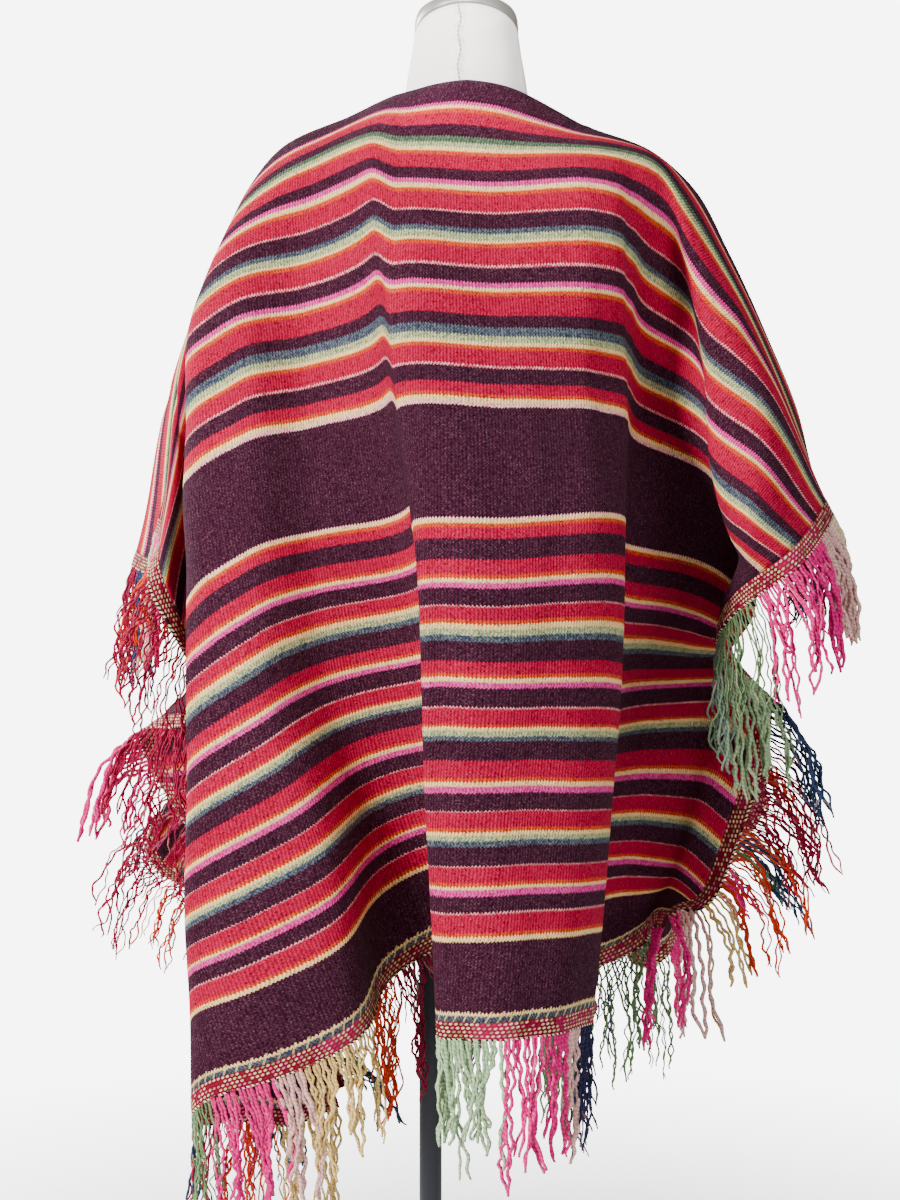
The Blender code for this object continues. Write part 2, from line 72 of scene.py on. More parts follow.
# Folds from the left edge to the right edge. "across" is where a fold lies on the cloth at each of
# foldRows. "side" and "depth" are its plan place at the same rows after the first.
backFolds = {
    "edgeLeft": {
        "across": (-0.62,) * 8,
        "side": (-0.278, -0.268, -0.225, -0.297, -0.238, -0.162, -0.099),
        "depth": (0.016, -0.072, -0.034, 0.098, 0.108, 0.06, 0.015),
    },
    "drapeLeft": {
        "across": (-0.324, -0.345, -0.394, -0.456, -0.545, -0.558, -0.557, -0.557),
        "side": (-0.236, -0.240, -0.228, -0.227, -0.219, -0.163, -0.153),
        "depth": (-0.017, 0.005, 0.031, 0.085, 0.051, 0.002, -0.024),
    },
    "tuckLeft": {
        "across": (-0.271, -0.289, -0.337, -0.393, -0.427, -0.444, -0.465, -0.482),
        "side": (-0.211, -0.234, -0.201, -0.206, -0.202, -0.206, -0.21),
        "depth": (-0.035, -0.021, -0.002, -0.016, -0.05, -0.07, -0.058),
    },
    "foldLeft": {
        "across": (-0.224, -0.238, -0.292, -0.315, -0.335, -0.357, -0.385, -0.420),
        "side": (-0.188, -0.236, -0.239, -0.235, -0.232, -0.234, -0.230),
        "depth": (-0.044, -0.055, -0.085, -0.125, -0.142, -0.137, -0.122),
    },
    "panelLeft": {
        "across": (-0.175, -0.190, -0.231, -0.248, -0.263, -0.270, -0.252, -0.274),
        "side": (-0.145, -0.185, -0.184, -0.175, -0.152, -0.098, -0.070),
        "depth": (-0.055, -0.085, -0.120, -0.158, -0.170, -0.158, -0.138),
    },
    "gullyLeft": {
        "across": (-0.135, -0.145, -0.169, -0.181, -0.189, -0.199, -0.184, -0.198),
        "side": (-0.105, -0.125, -0.122, -0.110, -0.100, -0.060, -0.040),
        "depth": (-0.062, -0.078, -0.100, -0.132, -0.125, -0.098, -0.060),
    },
    "valleyLeft": {
        "across": (-0.107, -0.114, -0.097, -0.085, -0.080, -0.092, -0.118, -0.147),
        "side": (-0.080, -0.066, -0.044, -0.018, 0.000, 0.008, 0.016),
        "depth": (-0.068, -0.115, -0.150, -0.180, -0.152, -0.102, -0.062),
    },
    "ridgeFace": {
        "across": (-0.081, -0.086, -0.069, -0.0554, -0.0456, -0.0408, -0.0316, -0.0198),
        "side": (-0.0592, -0.0476, -0.0328, -0.0148, -0.004, 0.0024, 0.0112),
        "depth": (-0.076, -0.134, -0.184, -0.2388, -0.227, -0.2028, -0.183),
    },
    "ridgeLeft": {
        "across": (-0.074, -0.079, -0.062, -0.048, -0.037, -0.028, -0.010, 0.012),
        "side": (-0.054, -0.043, -0.030, -0.014, -0.005, 0.001, 0.010),
        "depth": (-0.078, -0.138, -0.190, -0.247, -0.240, -0.224, -0.212),
    },
    "ridgeMiddle": {
        "across": (0.055, 0.059, 0.062, 0.058, 0.058, 0.063, 0.077, 0.095),
        "side": (0.074, 0.073, 0.075, 0.078, 0.082, 0.084, 0.088),
        "depth": (-0.082, -0.137, -0.184, -0.254, -0.253, -0.232, -0.231),
    },
    "ridgeRight": {
        "across": (0.168, 0.179, 0.184, 0.19, 0.166, 0.154, 0.157, 0.158),
        "side": (0.179, 0.183, 0.187, 0.175, 0.163, 0.153, 0.138),
        "depth": (-0.073, -0.126, -0.12, -0.213, -0.212, -0.191, -0.189),
    },
    "valleyRight": {
        "across": (0.217, 0.231, 0.263, 0.293, 0.308, 0.349, 0.398, 0.437),
        "side": (0.22, 0.215, 0.208, 0.189, 0.18, 0.163, 0.138),
        "depth": (-0.067, -0.072, -0.034, -0.088, -0.03, 0.032, 0.073),
    },
    "gullyRight": {
        "across": (0.242, 0.258, 0.346, 0.418, 0.463, 0.485, 0.491, 0.49),
        "side": (0.235, 0.262, 0.276, 0.305, 0.247, 0.223, 0.169),
        "depth": (-0.062, -0.051, -0.1, -0.024, 0.069, 0.096, 0.102),
    },
    "foldRight": {
        "across": (0.267, 0.284, 0.41, 0.506, 0.533, 0.546, 0.547, 0.551),
        "side": (0.254, 0.272, 0.282, 0.326, 0.297, 0.266, 0.219),
        "depth": (-0.057, -0.095, -0.155, -0.067, 0.071, 0.086, 0.092),
    },
    "drapeRight": {
        "across": (0.351, 0.373, 0.485, 0.579, 0.588, 0.581, 0.582, 0.581),
        "side": (0.304, 0.322, 0.305, 0.295, 0.319, 0.278, 0.232),
        "depth": (-0.037, -0.121, -0.202, -0.104, 0.047, 0.065, 0.071),
    },
    "edgeRight": {
        "across": (0.62,) * 8,
        "side": (0.405, 0.391, 0.335, 0.289, 0.344, 0.3, 0.239),
        "depth": (0.015, -0.084, -0.195, -0.113, 0.032, 0.048, 0.033),
    },
}

frontFolds = {
    "edgeLeft": {
        "across": (-0.62,) * 8,
        "side": (-0.296, -0.331, -0.223, -0.243, -0.306, -0.218, -0.208),
        "depth": (0.118, 0.212, 0.289, 0.207, 0.186, 0.27, 0.233),
    },
    "foldLeft": {
        "across": (-0.323, -0.344, -0.384, -0.447, -0.528, -0.533, -0.545, -0.556),
        "side": (-0.238, -0.259, -0.283, -0.27, -0.257, -0.215, -0.206),
        "depth": (0.061, 0.141, 0.14, 0.179, 0.148, 0.198, 0.175),
    },
    "panelLeft": {
        "across": (-0.245, -0.261, -0.289, -0.313, -0.342, -0.374, -0.41, -0.448),
        "side": (-0.188, -0.187, -0.183, -0.149, -0.137, -0.142, -0.156),
        "depth": (0.051, 0.087, 0.123, 0.12, 0.129, 0.139, 0.161),
    },
    "ridgeLeft": {
        "across": (-0.196, -0.209, -0.214, -0.213, -0.209, -0.212, -0.223, -0.237),
        "side": (-0.14, -0.132, -0.126, -0.112, -0.105, -0.108, -0.108),
        "depth": (0.038, 0.107, 0.174, 0.212, 0.242, 0.262, 0.276),
    },
    "valleyMiddle": {
        "across": (-0.093, -0.099, -0.094, -0.085, -0.079, -0.076, -0.075, -0.076),
        "side": (-0.046, -0.031, -0.01, -0.01, -0.011, -0.017, -0.008),
        "depth": (0.062, 0.14, 0.165, 0.177, 0.185, 0.198, 0.24),
    },
    "ridgeMiddle": {
        "across": (0.034, 0.036, 0.039, 0.045, 0.051, 0.059, 0.065, 0.069),
        "side": (0.076, 0.091, 0.096, 0.086, 0.081, 0.067, 0.073),
        "depth": (0.109, 0.18, 0.215, 0.236, 0.247, 0.263, 0.253),
    },
    "valleyRight": {
        "across": (0.107, 0.114, 0.15, 0.18, 0.196, 0.208, 0.218, 0.226),
        "side": (0.135, 0.183, 0.172, 0.165, 0.154, 0.158, 0.155),
        "depth": (0.051, 0.14, 0.132, 0.148, 0.149, 0.207, 0.232),
    },
    "ridgeRight": {
        "across": (0.225, 0.239, 0.261, 0.304, 0.338, 0.358, 0.378, 0.397),
        "side": (0.255, 0.262, 0.257, 0.25, 0.24, 0.242, 0.228),
        "depth": (0.052, 0.124, 0.187, 0.212, 0.229, 0.259, 0.244),
    },
    "foldRight": {
        "across": (0.262, 0.279, 0.343, 0.405, 0.474, 0.527, 0.559, 0.551),
        "side": (0.276, 0.311, 0.312, 0.293, 0.282, 0.28, 0.252),
        "depth": (0.057, 0.126, 0.168, 0.137, 0.112, 0.13, 0.177),
    },
    "edgeRight": {
        "across": (0.62,) * 8,
        "side": (0.382, 0.415, 0.32, 0.307, 0.349, 0.302, 0.273),
        "depth": (0.13, 0.225, 0.311, 0.221, 0.124, 0.142, 0.188),
    },
}


def slopes(xs, ys):
    steps = np.diff(xs)
    rises = np.diff(ys) / steps
    inner = (rises[:-1] * steps[1:] + rises[1:] * steps[:-1]) / (steps[:-1] + steps[1:])
    return np.concatenate(([rises[0]], inner, [rises[-1]]))


def smoothCurve(xs, ys, x):  # runs straight on past its ends
    xs, ys, x = (np.asarray(k, float) for k in (xs, ys, x))
    steep = slopes(xs, ys)
    i = np.clip(np.searchsorted(xs, x) - 1, 0, len(xs) - 2)
    h = xs[i + 1] - xs[i]
    t = np.clip((x - xs[i]) / h, 0, 1)
    value = (1 + 2 * t) * (1 - t) ** 2 * ys[i] + t * (1 - t) ** 2 * h * steep[i]
    value += t * t * (3 - 2 * t) * ys[i + 1] + t * t * (t - 1) * h * steep[i + 1]
    past = x - np.clip(x, xs[0], xs[-1])
    return value + past * np.where(past < 0, steep[0], steep[-1])


def unit(vectors):
    return vectors / np.maximum(np.linalg.norm(vectors, axis=-1, keepdims=True), 1e-9)


def squareTo(axis, vectors):  # vectors without their part along the axis
    return vectors - axis * (axis * vectors).sum(-1, keepdims=True)


def easeStep(low, high, x):
    t = np.clip((x - low) / (high - low), 0, 1)
    return t * t * (3 - 2 * t)


def shoulderPoints(across, front):
    reach = np.abs(across)
    curves = {key: smoothCurve(shoulderLine["across"], line, reach) for key, line in shoulderLine.items()}
    right = across >= 0
    side = np.where(right, curves["sideRight"], -curves["sideLeft"])
    height = np.where(right, curves["heightRight"], curves["heightLeft"])
    lip = np.where(reach < cloth["slitHalf"], np.cos(0.5 * np.pi * reach / cloth["slitHalf"]) ** 2, 0)
    depth = curves["depth"] + lip * (cloth["lipFront"] if front else -cloth["lipBack"])
    height = height + lip * (-cloth["lipDrop"] if front else cloth["lipRise"])
    return np.stack([cloth["neckSide"] + side, depth, height], -1)


def foldLine(fold, front):
    across = fold["across"]
    points = [shoulderPoints(np.array([across[0]]), front)[0]]
    for i, (side, depth) in enumerate(zip(fold["side"], fold["depth"])):
        step = foldRows[i + 1] - foldRows[i]
        drift = across[i + 1] - across[i]
        move = (side - points[i][0]) ** 2 + (depth - points[i][1]) ** 2
        least = (cloth["shortestFall"] * step) ** 2
        fall = math.sqrt(max(step ** 2 + drift ** 2 - move, least))
        points.append(np.array([side, depth, points[i][2] - fall]))
    return np.column_stack([across, np.array(points)])


def halfGrid(folds, front, acrossPlaces, downPlaces):
    lines = [foldLine(fold, front) for fold in folds.values()]
    rows = np.array([
        [smoothCurve(foldRows, line[:, k], downPlaces) for k in range(4)] for line in lines])
    grid = np.empty((len(acrossPlaces), len(downPlaces), 3))
    for j in range(len(downPlaces)):
        for k in range(3):
            grid[:, j, k] = smoothCurve(rows[:, 0, j], rows[:, k + 1, j], acrossPlaces)
    fade = 1 - easeStep(0, cloth["shoulderEase"], downPlaces)
    lift = shoulderPoints(acrossPlaces, front) - grid[:, 0]
    return grid + fade[None, :, None] * lift[:, None, :]


def gridNormals(grid, front, acrossPlaces, downPlaces):
    along = np.gradient(grid, acrossPlaces, axis=0)
    down = np.gradient(grid, downPlaces, axis=1)
    return unit(np.cross(along, down) if front else np.cross(down, along))


# Soft troughs and ridges that the cloth keeps from being folded and worn. Each one is across and
# down where it starts, the same where it ends, its half width and its height, minus for a trough.
creases = {
    "back": (
        (-0.072, 0.12, -0.046, 0.46, 0.009, 0.0030),
        (-0.044, 0.44, 0.012, 0.93, 0.009, 0.0040),
        (-0.30, 0.12, -0.22, 0.42, 0.022, -0.0035),
        (-0.34, 0.20, -0.27, 0.60, 0.014, 0.0030),
        (-0.22, 0.10, -0.245, 0.40, 0.020, 0.0030),
        (-0.31, 0.42, -0.30, 0.80, 0.022, -0.0030),
        (0.00, 0.40, -0.01, 0.86, 0.020, -0.0030),
        (0.085, 0.22, 0.10, 0.72, 0.018, -0.0028),
        (0.13, 0.10, 0.15, 0.50, 0.014, 0.0025),
        (0.21, 0.08, 0.24, 0.34, 0.014, -0.0035),
        (0.30, 0.08, 0.36, 0.30, 0.016, -0.0030),
        (0.42, 0.10, 0.48, 0.28, 0.018, 0.0035),
        (0.33, 0.46, 0.37, 0.80, 0.014, -0.0035),
        (-0.46, 0.05, -0.52, 0.26, 0.018, -0.0035),
        (-0.50, 0.38, -0.47, 0.66, 0.020, 0.0030),
        (0.05, 0.76, 0.07, 0.92, 0.014, 0.0025),
        (-0.31, 0.72, -0.34, 0.92, 0.016, 0.0035),
    ),
    "front": (
        (-0.15, 0.06, -0.14, 0.84, 0.018, -0.0035),
        (-0.04, 0.14, -0.02, 0.62, 0.020, 0.0035),
        (0.09, 0.20, 0.11, 0.90, 0.016, -0.0030),
        (0.27, 0.10, 0.31, 0.56, 0.020, -0.0035),
        (-0.28, 0.12, -0.33, 0.70, 0.018, 0.0030),
        (0.44, 0.16, 0.50, 0.48, 0.016, 0.0030),
        (-0.45, 0.10, -0.48, 0.34, 0.018, -0.0030),
        (0.01, 0.52, 0.03, 0.90, 0.014, -0.0028),
        (-0.39, 0.55, -0.41, 0.88, 0.016, -0.0030),
        (0.16, 0.06, 0.20, 0.30, 0.014, 0.0028),
        (0.36, 0.60, 0.35, 0.90, 0.015, 0.0030),
    ),
}


# Ripples that run down the cloth: how many radians across, how far they lean and how high they are.
ripples = {
    "fine": {"turns": 61, "lean": 3.1, "leanTurns": 5, "height": 0.0011},
    "broad": {"turns": 33, "lean": -2.2, "leanTurns": 4, "height": 0.0014},
    "hem": {"turns": 88, "lean": 2, "leanTurns": 11, "height": 0.0018},
    "creaseBow": 0.012,  # a crease is never quite straight
}


def creaseHeight(half, across, down):
    spots = np.stack(np.meshgrid(across, down, indexing="ij"), -1)
    height = np.zeros(spots.shape[:2])
    for k, (u0, v0, u1, v1, wide, high) in enumerate(creases[half]):
        start, run = np.array([u0, v0]), np.array([u1 - u0, v1 - v0])
        share = ((spots - start) @ run / (run @ run)).clip(0, 1)
        bow = ripples["creaseBow"] * np.sin(np.pi * share + k)
        gap = spots - start - share[..., None] * run
        apart = np.hypot(gap[..., 0] - bow, gap[..., 1])
        taper = np.sin(np.pi * (0.06 + 0.88 * share)) ** 0.7  # fades out towards both ends
        height += high * taper * np.exp(-((apart / (wide * (0.75 + 0.5 * share))) ** 2))
    u, v = spots[..., 0], spots[..., 1]
    hang = easeStep(0.06, 0.30, v)  # the hem ripples more than the shoulders
    fine, broad, hem = ripples["fine"], ripples["broad"], ripples["hem"]
    lean = fine["lean"] * np.sin(fine["leanTurns"] * v)
    height += hang * fine["height"] * np.sin(fine["turns"] * u + lean + 1.3) * np.sin(9 * v + 14 * u)
    lean = broad["lean"] * np.sin(broad["leanTurns"] * v + 1)
    height += hang * broad["height"] * np.sin(broad["turns"] * u + lean + 0.4)
    lean = hem["lean"] * np.sin(hem["leanTurns"] * u)
    height += easeStep(0.70, 0.93, v) * hem["height"] * np.sin(hem["turns"] * u + lean)
    return height


# How the hanging cloth gives, in metres. The first three lists are down the cloth, what the middle
# ridge sags there and what the left panel is gathered up. The last three are moves to the side, to
# the front and up, for the back's right corner, the tip of its right fold and the front's right corner.
give = {
    "down": (0.0, 0.07, 0.16, 0.38, 0.50, 0.62, 0.78, 0.935),
    "ridge": (0.003, 0.010, 0.023, 0.022, 0.022, 0.010, 0.005, 0.013),
    "panel": (0.0, 0.0, 0.0, 0.008, 0.019, 0.027, 0.035, 0.034),
    "valleyLift": 0.018,
    "gullyLift": 0.010,
    "leftCornerLift": 0.055,
    "backCorner": (0.010, 0.020, 0.100),
    "foldTip": (0.0, 0.045, 0.060),
    "frontCorner": (0.030, 0.080, 0.145),
}


def moved(amount, way):
    return amount[..., None] * np.array(way)


def settleBack(across, down):
    low = easeStep(0.45, 0.935, down)
    leftOfRidge = 1 - easeStep(-0.085, -0.045, across)
    sag = smoothCurve(give["down"], give["ridge"], down) * (1 - leftOfRidge)
    sag = sag * np.exp(-(((across + 0.03) / 0.17) ** 2))
    gathered = smoothCurve(give["down"], give["panel"], down) * leftOfRidge * easeStep(-0.36, -0.20, across)
    valley = give["valleyLift"] * low * np.exp(-(((across + 0.165) / 0.055) ** 2))
    gully = give["gullyLift"] * easeStep(0.22, 0.30, across) * easeStep(0.25, 0.40, down)
    corner = give["leftCornerLift"] * low * easeStep(0.43, 0.55, -across)
    rise = gathered + valley + gully + corner - sag
    turned = easeStep(0.46, 0.66, across) * easeStep(0.80, 0.96, down)
    tip = easeStep(0.48, 0.62, across) * np.exp(-(((down - 0.45) / 0.13) ** 2))
    return moved(rise, (0, 0, 1)) + moved(turned, give["backCorner"]) + moved(tip, give["foldTip"])


def settleFront(across, down):  # the corner is drawn up behind the back half
    drawn = easeStep(0.40, 0.66, across) * easeStep(0.60, 0.935, down)
    return moved(drawn, give["frontCorner"])


def addToScene(name, data, place=(0, 0, 0)):
    made = bpy.data.objects.new(name, data)
    made.location = place
    bpy.context.scene.collection.objects.link(made)
    return made


def newObject(name, verts, faces, materials, faceMaterial=None):
    mesh = bpy.data.meshes.new(name)
    mesh.from_pydata(np.asarray(verts).tolist(), [], [tuple(f) for f in faces])
    for material in materials:
        mesh.materials.append(material)
    if faceMaterial is not None:
        mesh.polygons.foreach_set("material_index", np.asarray(faceMaterial, np.int32))
    mesh.shade_smooth()
    return addToScene(name, mesh)


def addMap(piece, name, corners):
    made = piece.data.uv_layers.new(name=name)
    made.uv.foreach_set("vector", np.ascontiguousarray(corners, np.float32).ravel())


def gridFaces(ids, flip):
    a, b, c, d = ids[:-1, :-1], ids[1:, :-1], ids[1:, 1:], ids[:-1, 1:]
    faces = np.stack([a, b, c, d], -1).reshape(-1, 4)
    return faces[:, ::-1] if flip else faces


def acrossColumns():
    half, slit = cloth["halfWidth"], cloth["slitHalf"]
    left = np.linspace(-half, -slit, cloth["sideColumns"] + 1)
    middle = np.linspace(-slit, slit, cloth["slitColumns"] + 1)
    return np.concatenate([left, middle[1:], -left[::-1][1:]])


acrossPlaces = acrossColumns()
downPlaces = np.linspace(0, cloth["halfLength"], cloth["rows"] + 1)
halves = {}
for half, folds, settle in (("back", backFolds, settleBack), ("front", frontFolds, settleFront)):
    front = half == "front"
    grid = halfGrid(folds, front, acrossPlaces, downPlaces)
    normals = gridNormals(grid, front, acrossPlaces, downPlaces)
    grid = grid + normals * creaseHeight(half, acrossPlaces, downPlaces)[..., None]
    grid += settle(acrossPlaces[:, None], downPlaces[None, :])
    halves[half] = {"grid": grid, "front": front}
joined = np.abs(acrossPlaces) >= cloth["slitHalf"] - 1e-6
meet = 0.5 * (halves["back"]["grid"][joined, 0] + halves["front"]["grid"][joined, 0])
for half in halves.values():
    half["grid"][joined, 0] = meet
    half["normals"] = gridNormals(half["grid"], half["front"], acrossPlaces, downPlaces)
meet = unit(halves["back"]["normals"][joined, 0] + halves["front"]["normals"][joined, 0])
for half in halves.values():
    half["normals"][joined, 0] = meet


def clothSheet(material):
    shape = halves["back"]["grid"].shape[:2]
    count = shape[0] * shape[1]
    backIds = np.arange(count).reshape(shape)
    frontIds = backIds + count
    frontIds[joined, 0] = backIds[joined, 0]  # one sheet, parted only at the neck slit
    middle = np.concatenate([halves[k]["grid"].reshape(-1, 3) for k in ("back", "front")])
    normals = np.concatenate([halves[k]["normals"].reshape(-1, 3) for k in ("back", "front")])
    across, down = np.meshgrid(acrossPlaces + cloth["halfWidth"], downPlaces, indexing="ij")
    weave = np.concatenate([
        np.stack([across, cloth["halfLength"] + down], -1).reshape(-1, 2),
        np.stack([across, cloth["halfLength"] - down], -1).reshape(-1, 2),
    ])
    faces = np.concatenate([gridFaces(backIds, True), gridFaces(frontIds, False)])
    used, faces = np.unique(faces, return_inverse=True)
    faces = faces.reshape(-1, 4)
    middle, normals, weave = middle[used], normals[used], weave[used]
    total = len(used)
    edges = np.stack([faces, np.roll(faces, -1, axis=1)], -1).reshape(-1, 2)
    key = np.sort(edges, axis=1)
    _, first, counts = np.unique(key, axis=0, return_index=True, return_counts=True)
    rim = edges[first[counts == 1]]
    rimFaces = np.stack([rim[:, 1], rim[:, 0], rim[:, 0] + total, rim[:, 1] + total], -1)
    lift = normals * 0.5 * cloth["thickness"]
    allFaces = np.concatenate([faces, faces[:, ::-1] + total, rimFaces])
    verts = np.concatenate([middle + lift, middle - lift])
    piece = newObject("poncho_cloth", verts, allFaces, [material])
    addMap(piece, "weave", np.concatenate([weave, weave])[allFaces])
    size = 2 * cloth["halfWidth"], 2 * cloth["halfLength"]
    flat = weave / size * (0.49, 0.99) + 0.005  # the upper side takes half the map, the under side half
    corners = np.concatenate([flat, flat + (0.5, 0)])[allFaces]
    corners[-len(rimFaces):, 2:] = corners[-len(rimFaces):, 1::-1]  # the rim takes the edge's colour
    addMap(piece, "OFBake", corners)
    return piece


class Value:  # a shader socket that takes part in sums
    def __init__(self, shade, socket):
        self.shade = shade
        self.socket = socket

    def __add__(self, other):
        return self.shade.maths("ADD", self, other)

    def __sub__(self, other):
        return self.shade.maths("SUBTRACT", self, other)

    def __rsub__(self, other):
        return self.shade.maths("SUBTRACT", other, self)

    def __mul__(self, other):
        return self.shade.maths("MULTIPLY", self, other)

    def __truediv__(self, other):
        return self.shade.maths("DIVIDE", self, other)

    def __gt__(self, other):
        return self.shade.maths("GREATER_THAN", self, other)

    def __lt__(self, other):
        return self.shade.maths("LESS_THAN", self, other)

    __radd__ = __add__
    __rmul__ = __mul__


class Shade:  # one material and the nodes it is made of
    def __init__(self, name, surface):
        self.material = bpy.data.materials.new(name)
        self.material.use_nodes = True
        self.tree = self.material.node_tree
        self.principled = self.tree.nodes["Principled BSDF"]
        for socket, value in surface.items():
            self.principled.inputs[socket].default_value = value

    def node(self, kind, settings=None, values=None, result=0):
        made = self.tree.nodes.new(kind)
        for key, value in (settings or {}).items():
            if key == "stops":
                self.fillRamp(made.color_ramp, value)
            else:
                setattr(made, key, value)
        for key, value in (values or {}).items():
            if isinstance(value, Value):
                self.tree.links.new(value.socket, made.inputs[key])
            else:
                made.inputs[key].default_value = value
        return Value(self, made.outputs[result])

    def fillRamp(self, ramp, stops):
        ramp.interpolation = "CONSTANT"
        while len(ramp.elements) > 1:
            ramp.elements.remove(ramp.elements[-1])
        for k, (place, colour) in enumerate(stops):
            stop = ramp.elements[0] if k == 0 else ramp.elements.new(place)
            stop.position = place
            stop.color = colour

    def maths(self, how, *terms):
        return self.node("ShaderNodeMath", {"operation": how}, dict(enumerate(terms)))

    def blend(self, factor, first, second, how="MIX"):
        settings = {"data_type": "RGBA", "blend_type": how}
        return self.node("ShaderNodeMix", settings, {0: factor, 6: first, 7: second}, 2)

    def shaded(self, colour, tone):  # a colour made darker or lighter by a number
        grey = self.node("ShaderNodeCombineColor", None, {0: tone, 1: tone, 2: tone})
        return self.blend(1.0, colour, grey, "MULTIPLY")

    def stripe(self, place, stops):  # flat colours along a ramp
        return self.node("ShaderNodeValToRGB", {"stops": stops}, {0: place})

    def measures(self, layer):  # the two numbers of a map
        spot = self.node("ShaderNodeUVMap", {"uv_map": layer})
        parts = self.node("ShaderNodeSeparateXYZ", None, {0: spot}).socket.node
        return [Value(self, parts.outputs[k]) for k in range(2)]

    def join(self, x, y, z=0.0):
        return self.node("ShaderNodeCombineXYZ", None, {0: x, 1: y, 2: z})

    def noise(self, spot, scale, detail=2.0, rough=0.5):
        values = {"Vector": spot, "Scale": scale, "Detail": detail, "Roughness": rough}
        return self.node("ShaderNodeTexNoise", None, values)

    def grain(self, x, y, detail=2.0, rough=0.5):  # noise over two measures of the surface
        return self.noise(self.join(x, y), 1.0, detail, rough)

    def random(self, x, y):  # one number for each pair of whole numbers
        spot = self.join(x, y)
        return self.node("ShaderNodeTexWhiteNoise", {"noise_dimensions": "2D"}, {"Vector": spot})

    def floor(self, value):
        return self.maths("FLOOR", value)

    def zigzag(self, value, top=0.5):  # up and down between 0 and top
        return self.maths("PINGPONG", value, top)

    def finish(self, links):
        for socket, value in links.items():
            self.tree.links.new(value.socket, self.principled.inputs[socket])
        return self.material

    def bump(self, height, strength, distance):
        values = {"Strength": strength, "Distance": distance, "Height": height}
        return self.node("ShaderNodeBump", None, values)


def paint(code):  # a display colour such as "c02040" as the linear one that shaders take
    parts = [int(code[k:k + 2], 16) / 255 for k in (0, 2, 4)]
    linear = [p / 12.92 if p <= 0.04045 else ((p + 0.055) / 1.055) ** 2.4 for p in parts]
    return (*linear, 1.0)


yarnColours = {
    "maroon": "351224",
    "red": "a40730",
    "pink": "d4227e",
    "lightPink": "f395a2",
    "paleLine": "f6a2a2",
    "cream": "ffdb94",
    "orange": "d75219",
    "lightGreen": "89996e",
    "darkGreen": "42553f",
    "blue": "3a3f54",
}
# The yarn that is mixed in with each colour of a stripe, in short dashes.
dashColours = {
    "maroon": "492335",
    "red": "bf1242",
    "pink": "e159a2",
    "lightPink": "f9dabc",
    "paleLine": "b31945",
    "cream": "f6bc7c",
    "orange": "bc1d27",
    "lightGreen": "cec895",
    "darkGreen": "617961",
    "blue": "65716f",
}

# Stripes in millimetres from the shoulder line to the hem, the same way down the front and the back.
stripes = (
    "maroon 24, pink 3.5, cream 3.5, orange 4, red 13, maroon 12, darkGreen 6.5, lightGreen 5.5,"
    "cream 4.5, orange 4.5, red 15, maroon 13, pink 5.5, cream 4.5, orange 5, red 18, paleLine 2,"
    "maroon 16, blue 5, lightGreen 7, cream 2.5, orange 5, red 18, paleLine 2, maroon 16, pink 5,"
    "cream 3.5, orange 5, red 18.5, maroon 12.5, blue 8.5, lightGreen 7, cream 4, orange 4.5,"
    "red 17, paleLine 2, maroon 17, red 12.5, orange 4, cream 4.5, lightPink 4, maroon 112,"
    "lightPink 1.5, cream 4.5, orange 3, red 10.5, maroon 20, red 14.5, orange 4.5, cream 4,"
    "pink 4.5, maroon 17, paleLine 1.5, red 13.5, orange 4.5, cream 5.5, lightGreen 5.5, blue 6.5,"
    "maroon 20, red 12.5, orange 4, cream 4, pink 5.5, maroon 18.5, paleLine 2, red 15.5,"
    "orange 3, cream 3.5, lightGreen 5.5, blue 4.5, maroon 18.5, red 17, orange 3.5, cream 4.5,"
    "pink 6.5, maroon 16.5, paleLine 1.5, red 15.5, orange 3.5, cream 3.5, lightGreen 4.5, blue 5,"
    "maroon 18, paleLine 1.5, red 14, orange 3.5, cream 3, pink 6, maroon 14.5, paleLine 1.5,"
    "red 16.5, orange 3.5, cream 4.5, maroon 63, cream 3.2, blue 9"
)

weave = {
    "rib": 0.0029,  # from one warp rib to the next
    "pick": 0.0013,  # from one weft thread to the next
    "tooth": 0.0018,  # how far a stripe's edge steps in and out
    "wander": 0.0016,
    "ribWander": 1.4,  # in ribs
    "scatter": 0.0007,
    "dash": 0.0017,
    "dashShare": (0.12, 0.62),  # how many threads carry a dash, and how many more every other one does
    "rampStops": 28,
    "stitchRows": (0.0105, 0.0005),  # from the hem up to the stitches' ends
    "stitchStep": 0.0095,
    "stitchWide": 0.0016,
    "stitchSlant": 0.45,
    "stitchYarn": "e8cf8e",
    "lintYarn": "c08c98",
    "lintShare": 0.09,
    "lintSize": (0.0011, 0.0008),
    "pinholeShare": 0.07,
}


def stripeColour(shade, place, colours):
    bands = [band.split() for band in stripes.split(",")]
    names = [name for name, _ in bands]
    ends = np.cumsum([float(width) / 1000 for _, width in bands])
    starts = np.concatenate([[0], ends[:-1]])
    colour = None
    for first in range(0, len(bands), weave["rampStops"]):
        group = range(first, min(first + weave["rampStops"], len(bands)))
        low, high = starts[group[0]], ends[group[-1]]
        stops = [((starts[k] - low) / (high - low), paint(colours[names[k]])) for k in group]
        ramp = shade.stripe((place - low) / (high - low), stops)
        colour = ramp if colour is None else shade.blend(place > low, colour, ramp)
    return colour


